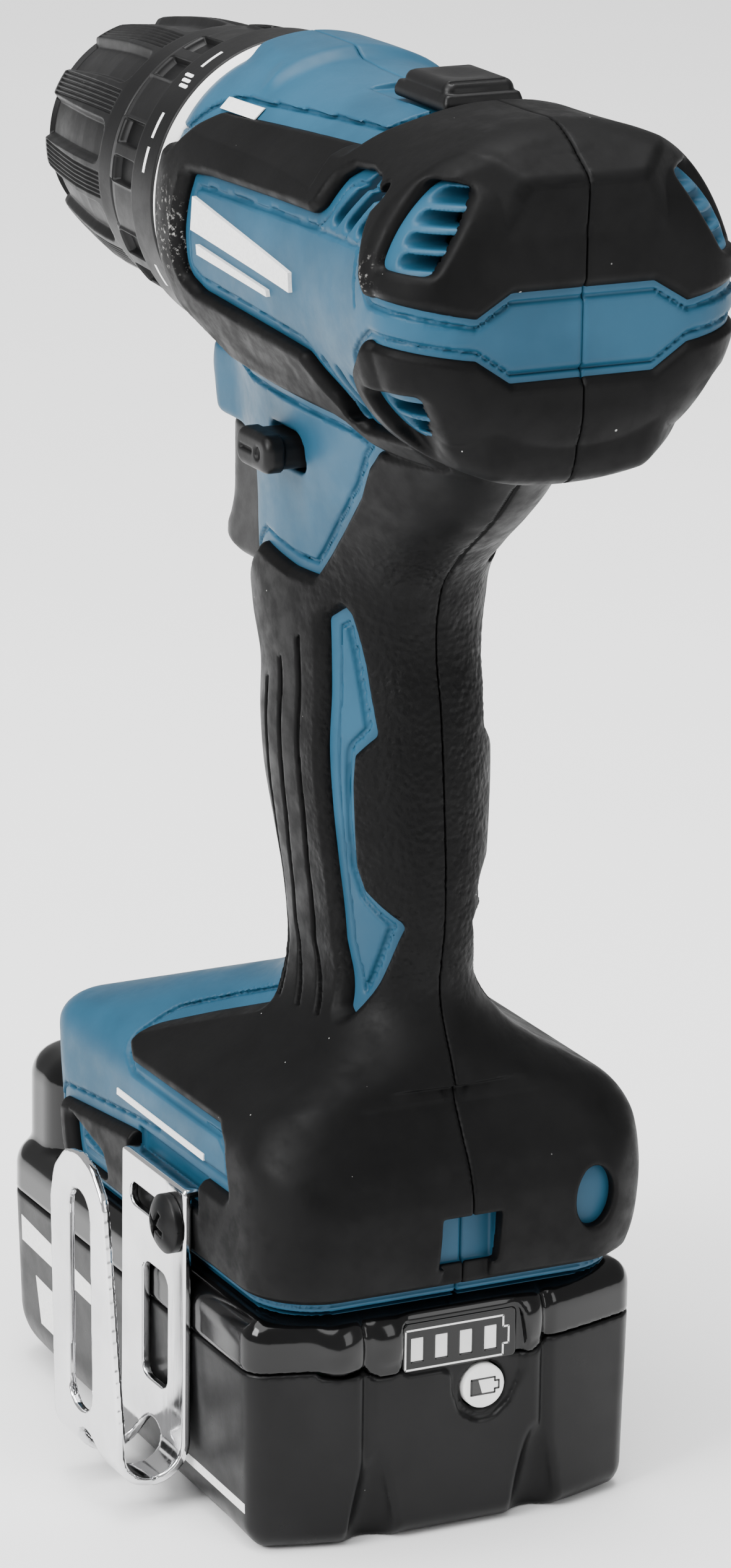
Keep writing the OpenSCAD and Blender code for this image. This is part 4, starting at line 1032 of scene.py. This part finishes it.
def trigger_field(x, y, z):
    y = np.abs(y)
    front = curve(z, [161, 162.6, 164, 166, 169, 172, 178, 184, 188],
                  [20.5, 23.2, 27.2, 28.0, 26.6, 25.5, 25.2, 25.3, 25.3])
    body = rounded_rectangle(x, y, 3, front, 8.4, 7.2)
    body = round_max(body, slab(z, 162.3, 187.1), 1.5)
    body = both(body, 2.9 - x)
    stem = block(x, y, z, (-3.3, -9, 176.1), (4, 2.1, 180.3), 0.2)
    d = either(body, stem)
    pull = both(np.abs(z - TRIGGER_MID) - 9.2, y - 6.0)
    groove = both(np.abs((z - TRIGGER_MID + 60) % 3.2 - 1.6) - 0.35, pull, front - 0.45 - x)
    return cut(d, groove, 0.15)


piece("trigger_pull_face", trigger_field, (-4.2, -9.4, 161.4), (29.6, 9.4, 188.2), 0.42, black, "trigger",
      ("trigger",))


def lamp_field(x, y, z):
    y = np.abs(y)
    cap = block(x, y, z, (20.8, -9, 189.9), (24.6, 5.4, 195.3), 1.2)
    bulge = np.sqrt((x - 22.6) ** 2 + (y * 0.75) ** 2 + (z - 192.6) ** 2) - 3.0
    tail = block(x, y, z, (11.1, -9, 190.7), (21.6, 3.3, 194.3), 0.3)
    return either(smooth_min(cap, bulge, 1.2), tail)


piece("lamp_cover", lamp_field, (10.2, -6.4, 189), (26.4, 6.4, 196.3), 0.35, lens, "tool",
      ("work_light",))

# ---------------------------------------------------------------- belt clip and its screw

SHEET, PLATE_Y, ARM_Y, BEND_Y, BEND_Z, BEND_R = 0.8, 39.2, 52.4, 45.8, 13.0, 6.6
FLANGE_Z, TOOTH_PITCH, DEEP = 58.4, 1.6, -9.0
ARM = [(-29.4, 4), (-29.6, 17.5), (-22.4, 58.4), (-17.6, 63.0), (-12, 64.4), (-6, 63.2), (-1.4, 58.6),
       (0.2, 52.5), (-1.7, 12.5), (-1.8, 4)]
PLATE = [(-28.5, 2), (-28.5, 60.6), (-1.9, 60.6), (-1.9, 2)]
ARM_SLOT = [(-7.4, 57.4), (-8.1, 15.8), (-18.6, 15.8), (-17.0, 57.4)]


def sheet_distance(y, z):
    """Distance to the middle of the folded sheet in its side view."""
    upright = np.maximum(BEND_Z - z, 0)
    plate = np.hypot(y - PLATE_Y, both(upright, z - 59.8))
    arm = np.hypot(y - ARM_Y, both(upright, z - 66))
    bend = np.where(z < BEND_Z, np.abs(np.hypot(y - BEND_Y, z - BEND_Z) - BEND_R), 99.0)
    flange = np.hypot(np.maximum(both(35.9 - y, y - PLATE_Y), 0), z - 59.8)
    return either(plate, arm, bend, flange)


def clip_field(x, y, z):
    edge = np.where(y > BEND_Y, outline(x, z, ARM, 5.0), outline(x, z, PLATE, 1.2))
    d = round_max(sheet_distance(y, z) - SHEET, edge, 0.3)
    on_plate, on_arm = y - BEND_Y, BEND_Y - y
    long_slot = outline(x, z, [(-11, 20), (-21.8, 20), (-21.8, 42), (-11, 42)], 2.6)
    top_slot = outline(x, z, [(-5.6, 55.1), (-26, 55.1), (-26, 50.9), (-5.6, 50.9)], 2.0)
    d = cut(d, both(either(long_slot, top_slot), on_plate), 0.25)
    d = cut(d, both(outline(x, z, ARM_SLOT, 5.0), on_arm), 0.25)
    d = cut(d, np.hypot(x + 15.6, z - 7.6) - 5.2, 0.25)
    teeth = 36.6 - 0.55 * np.abs((x + 100) % TOOTH_PITCH - TOOTH_PITCH / 2) - y
    return both(d, np.where(z > FLANGE_Z, teeth, DEEP))


CLIP_STEP = 0.42
piece("clip_sheet", clip_field, (-30.6, 34.8, 4.6), (1.2, 54.2, 65.6), CLIP_STEP, chrome, "tool",
      ("belt_clip",))


SCREW_X, SCREW_Z, SCREW_R, SEAT_Y = -23.4, 53, 5.4, 40.02


def clip_screw_field(x, y, z):
    u, w = x - SCREW_X, z - SCREW_Z
    r = np.hypot(u, w)
    head = both(np.sqrt(u * u + (y - 35.4) ** 2 + w * w) - 8.2, r - SCREW_R, SEAT_Y - y)
    rim = round_max(r - SCREW_R, slab(y, SEAT_Y, 41.4), 0.4)
    d = either(head, rim)
    turn = math.radians(24)
    a, b = u * math.cos(turn) + w * math.sin(turn), -u * math.sin(turn) + w * math.cos(turn)
    cross = either(both(np.abs(a) - 0.55, np.abs(b) - 2.6), both(np.abs(b) - 0.55, np.abs(a) - 2.6))
    d = cut(d, both(cross, 41.8 - y), 0.2)
    shank = both(r - 1.9, slab(y, 28.2, 40.5))
    return either(d, shank)


piece("clip_screw_head", clip_screw_field, (-29.4, 27.6, 47), (-17.4, 44.8, 59), 0.3, black, "tool",
      ("clip_screw",))

# ---------------------------------------------------------------- battery

SEAM, LID, FRONT_X, HALF_W, DRAFT, WALL = 33.8, 43.9, 57.2, 38.2, 0.031, 2.2
BUTTON_X, BUTTON_Y, BUTTON_Z, BUTTON_R = -56.95, -5.5, 26.6, 4.1
PANEL_RECESS = [(10.8, 41.2), (10.8, 31.0), (0.9, 31.0), (0.8, 26.6), (-0.7, 22.4), (-4.0, 20.3),
                (-7.4, 20.5), (-10.6, 23.0), (-12.8, 28.0), (-13.6, 34.0), (-12.4, 41.2)]


def battery_plan(x, y, z):
    """Side walls of the battery, slightly narrower towards the bottom."""
    a = np.abs(y)
    draft = (SEAM - np.minimum(z, SEAM)) * DRAFT
    ridge = 0.9 * np.exp(-((a - 17.6) / 0.9) ** 2)
    rear = -57.0 + 5.3 * np.maximum((a - 18.5) / 19.7, 0) ** 1.25 + ridge
    d = round_max(x - FRONT_X + draft, a - HALF_W + draft, 9)
    return round_max(d, (rear - x) * 0.96, 3.2)


def scoops(x, y, z):
    """Two tapered hollows under the rear edge."""
    a = np.abs(np.abs(y) - 16.2)
    reach = 5.4 * np.sqrt(np.maximum(1 - z / 18.6, 0.0001))
    return np.hypot(a, (x + 58.2) * 0.95) - reach + np.where(z > 18.6, 3.0, 0)


def panel_recess(x, y, z):
    """Shallow room for the charge panel and the check button, across the seam."""
    return both(outline(y, z, PANEL_RECESS, 2.0), x + 56.2)


def lower_field(x, y, z):
    d = battery_plan(x, y, z)
    floor_r = np.interp(x, [-57, -40, 30, 57], [4.0, 6.0, 9.0, 12.0])
    d = round_max(d, -z, floor_r)
    inner = d + WALL
    d = round_max(d, z - SEAM + 0.12, 0.35)
    d = round_max(d, -scoops(x, y, z), 0.8)
    d = cut(d, panel_recess(x, y, z), 0.3)
    d = cut(d, both(np.hypot(y - BUTTON_Y, z - BUTTON_Z) - BUTTON_R - 0.35, x + 52), 0.25)
    for dip_y, depth in ((13.5, 2.2), (22.0, 1.6), (-13.5, 2.2)):
        dip = np.hypot((y - dip_y) / 4.4, (z - SEAM) / depth) - 1
        d = cut(d, both(dip * 2.5, x + 52), 0.3)
    return both(d, -both(inner, WALL - scoops(x, y, z)))


def lid_field(x, y, z):
    plan = battery_plan(x, y, z)
    d = round_max(plan, z - LID, 5.2)
    inner = d + WALL
    d = round_max(d, SEAM + 0.12 - z, 0.5)
    for bump_y in (13.5, 22.0, -13.5):
        ball = np.sqrt(((x + 53.8) / 4.2) ** 2 + ((y - bump_y) / 4.4) ** 2 + ((z - 37.2) / 5.2) ** 2) - 1
        d = smooth_min(d, ball * 3.6, 1.6)
    dip = np.hypot((np.abs(y) - 13.5) / 4.2, (z - SEAM) / 2.0)
    tongue = both((dip - 1) * 2.5, x + 52.5, plan - 0.05)
    d = either(d, both(tongue, SEAM - 2.0 - z))
    dome = round_max(rounded_rectangle(x, y, 35.5, FRONT_X - 0.2, 35.2, 9), z - 61.6, 5.5)
    tower = block(x, y, z, (-38, -20, 42), (47, 20, 57), 0.6)
    d = smooth_min(d, both(dome, 42 - z), 1.2)
    d = both(either(d, tower), -inner)
    a = np.abs(y)
    cuts = [block(x, a, z, (-39.5, 17.0, 47.6), (35.6, 22, 51.0), 0.3),
            block(x, y, z, (-35.8, -14.8, 40), (33, 14.8, 54.8), 0.5),
            block(x, np.abs(a - 8), z, (-39.5, -3, 50), (-18, 1.2, 59), 0.2),
            block(x, y, z, (43, -10.4, 46.5), (60, 10.4, 58.6), 0.6),
            block(x, y, z, (36.4, -5.4, 47.6), (43.2, 5.4, 64), 0.3)]
    for shape in cuts:
        d = cut(d, shape, 0.25)
    spring_well = both(np.hypot(x - 53, y) - 3.6, slab(z, 41.9, 48))
    d = both(d, -spring_well)
    return cut(d, panel_recess(x, y, z), 0.5)


CASE_STEP = 0.7
piece("battery_tray", lower_field, (-58.4, -39.4, -0.8), (58.6, 39.4, 34.8), CASE_STEP, satin, "battery",
      ("battery_lower_case",))
piece("battery_lid", lid_field, (-58.4, -39.4, 30.6), (58.6, 39.4, 62.8), CASE_STEP, gloss, "battery",
      ("battery_upper_case",))

WINDOWS = [(6.4, 8.9), (1.6, 4.1), (-3.25, -0.75), (-8.1, -5.6)]
PANEL_X = -56.45


def panel_field(x, y, z):
    face = outline(y, z, [(10.5, 40.6), (10.5, 31.3), (-12.0, 31.3), (-12.0, 40.6)], 1.0)
    d = round_max(face, slab(x, PANEL_X, -55.1), 0.25)
    for low, high in WINDOWS:
        d = cut(d, block(x, y, z, (PANEL_X - 1, low, 33.3), (PANEL_X + 0.25, high, 37.8), 0.1), 0.08)
    return d


piece("charge_panel", panel_field, (-57.2, -12.8, 30.6), (-54.6, 11.3, 41.4), 0.28, gloss, "battery",
      ("indicator_panel",))


def on_panel(y, z, height):
    return (PANEL_X - height, y, z)


def frame_bars(points, width):
    """Loops of the bars that join the points of a closed line."""
    return [capsule(a, b, width, 3) for a, b in zip(points, points[1:] + points[:1])]


CHARGE_LINE = [(10.0, 39.3), (10.0, 31.9), (-9.3, 31.9), (-9.3, 34.0), (-10.4, 34.0), (-10.4, 37.2),
               (-9.3, 37.2), (-9.3, 39.3)]
plates("charge_outline", frame_bars(CHARGE_LINE, 0.32), on_panel, -0.1, 0.05, ink, "battery")
plates("charge_windows", [[(low + 0.08, 33.4), (high - 0.08, 33.4), (high - 0.08, 37.7), (low + 0.08, 37.7)]
                          for low, high in WINDOWS], on_panel, -0.3, -0.16, pale, "battery")


def button_field(x, y, z):
    r = np.hypot(y - BUTTON_Y, z - BUTTON_Z)
    return round_max(r - BUTTON_R, slab(x, BUTTON_X, -53.8), 0.4)


piece("check_disc", button_field, (-57.6, -10.4, 21.7), (-53.2, -0.6, 31.5), 0.28, pale, "check_button",
      ("check_button",))


def on_button(y, z, height):
    return (BUTTON_X - height, y, z)


ICON = [(-2.9, 28.1), (-2.9, 25.2), (-7.6, 25.2), (-7.6, 25.9), (-8.4, 25.9), (-8.4, 27.4), (-7.6, 27.4),
        (-7.6, 28.1)]
ICON_FILL = [(-3.0, 28.0), (-3.0, 25.3), (-5.1, 25.3), (-4.3, 28.0)]
plates("check_icon", frame_bars(ICON, 0.34) + [ICON_FILL], on_button, -0.08, 0.04, ink_dark, "check_button")


def release_field(x, y, z):
    y = np.abs(y)
    front = block(x, y, z, (50, -11, 50.5), (FRONT_X - 0.6, 9.9, 58.1), 1.3)
    for k in range(4):
        line = both(np.abs(z - 52.2 - 1.4 * k) - 0.3, y - 7.6, FRONT_X - 1.1 - x)
        front = cut(front, line, 0.12)
    neck = block(x, y, z, (40.4, -11, 52), (50.2, 4.8, 55), 0.3)
    hook = block(x, y, z, (36.8, -11, 52), (40.5, 4.8, 64), 0.4)
    return either(front, neck, hook)


piece("release_catch", release_field, (36, -10.8, 49.8), (57.6, 10.8, 64.8), 0.42, black, "release_button",
      ("release_button",))

# ---------------------------------------------------------------- plain stripes in place of the printed names

def on_side(x, z, height):
    """Point on the blue shell's left side, found by halving."""
    low, high = 8.0, 48.0
    for _ in range(22):
        middle = (low + high) / 2
        if float(outer_form(np.array([x]), np.array([middle]), np.array([z]), 0)[0]) < 0:
            low = middle
        else:
            high = middle
    return (x, low + height, z)


def stripe(x0, x1, low0, high0, low1, high1, count):
    """A tapering stripe in short lengths, so that it follows the curved side."""
    t = np.linspace(0, 1, count + 1)
    x, low, high = x0 + (x1 - x0) * t, low0 + (low1 - low0) * t, high0 + (high1 - high0) * t
    return [[(x[k], low[k]), (x[k + 1], low[k + 1]), (x[k + 1], high[k + 1]), (x[k], high[k])]
            for k in range(count)]


def side_stripes(name, loops, low, high):
    plates(name, loops, on_side, low, high, ink, "tool")


side_stripes("panel_stripes", stripe(-6, -46, 227.6, 233.4, 224.6, 228.0, 20)
             + stripe(-8, -36, 223.6, 225.4, 221.8, 223.0, 14), -0.35, 0.75)
side_stripes("cowl_stripes", stripe(-2, -15, 247.6, 249.4, 247.8, 249.6, 8), -0.2, 0.12)
side_stripes("foot_stripe", stripe(8, -29, 66.4, 67.6, 66.0, 67.2, 20), -0.2, 0.25)


def on_battery(x, z, height):
    return (x, HALF_W - (SEAM - z) * DRAFT + height, z)


BATTERY_STRIPES = [[(48, 24.6), (14, 22.6), (14, 26.4), (48, 29.6)],
                   [(40, 10.4), (31, 9.8), (33, 18.6), (42, 19.4)],
                   [(-20, 7.6), (-49, 6.8), (-49, 8.6), (-20, 9.4)]]
plates("battery_stripes", BATTERY_STRIPES, on_battery, -0.15, 0.06, ink, "battery")

# ---------------------------------------------------------------- floor, light and camera

def stage_floor():
    mesh = bpy.data.meshes.new("floor")
    s = 9.0
    mesh.from_pydata([(-s, -s, 0), (s, -s, 0), (s, s, 0), (-s, s, 0)], [], [(0, 1, 2, 3)])
    made, tree, shader, place = blank_material("floor_paint")
    base = mottled(tree, place, 3, 3, 0.55, (0.3, 0.7), (0.93, 0.93, 0.93), (0.96, 0.96, 0.96))
    tree.links.new(base, shader.inputs["Base Color"])
    uneven_gloss(tree, shader, place, 20, 3, 0.55, (0.3, 0.7), (0.75, 0.85))
    shader.inputs["Specular IOR Level"].default_value = 0.1
    mesh.materials.append(made)
    add_object("floor", mesh)


def aim(light, place, target):
    light.rotation_euler = (Vector(target) - Vector(place)).to_track_quat("-Z", "Y").to_euler()


def area_light(name, place, target, size, power):
    data = bpy.data.lights.new(name, "AREA")
    data.shape = "RECTANGLE"
    data.size, data.size_y = size
    data.energy = power
    light = add_object(name, data)
    light.location = place
    aim(light, place, target)


def studio():
    world = bpy.data.worlds.new("studio")
    bpy.context.scene.world = world
    world.use_nodes = True
    back = world.node_tree.nodes["Background"]
    back.inputs["Color"].default_value = (1.0, 1.0, 1.0, 1)
    back.inputs["Strength"].default_value = 0.5
    middle = (-0.01, 0, 0.16)
    area_light("key_left", (-0.35, 1.3, 0.95), middle, (0.7, 0.7), 30)
    area_light("top_soft", (0.1, -0.1, 1.5), middle, (0.8, 0.8), 22)
    sky = bpy.data.lights.new("sky_soft", "SUN")
    sky.energy, sky.angle = 3.4, math.radians(60)
    aim(add_object("sky_soft", sky), (-0.3, 0.9, 2.4), middle)
    area_light("rear_soft", (-1.3, -0.6, 0.7), middle, (0.6, 0.9), 6)


def camera():
    azimuth, elevation, roll = (math.radians(v) for v in (26.642, 16.787, 0.835))
    forward = Vector((math.cos(azimuth) * math.cos(elevation), -math.sin(azimuth) * math.cos(elevation),
                      -math.sin(elevation)))
    right = forward.cross(Vector((0, 0, 1))).normalized()
    up = right.cross(forward)
    across = right * math.cos(roll) + up * math.sin(roll)
    upward = up * math.cos(roll) - right * math.sin(roll)
    data = bpy.data.cameras.new("camera")
    data.lens = 142.5
    data.clip_start, data.clip_end = 0.05, 50
    made = add_object("camera", data)
    turn = Matrix((across, upward, -forward)).transposed().to_4x4()
    made.matrix_world = Matrix.Translation((-0.9583, 0.4719, 0.4451)) @ turn
    bpy.context.scene.camera = made


stage_floor()
studio()
camera()
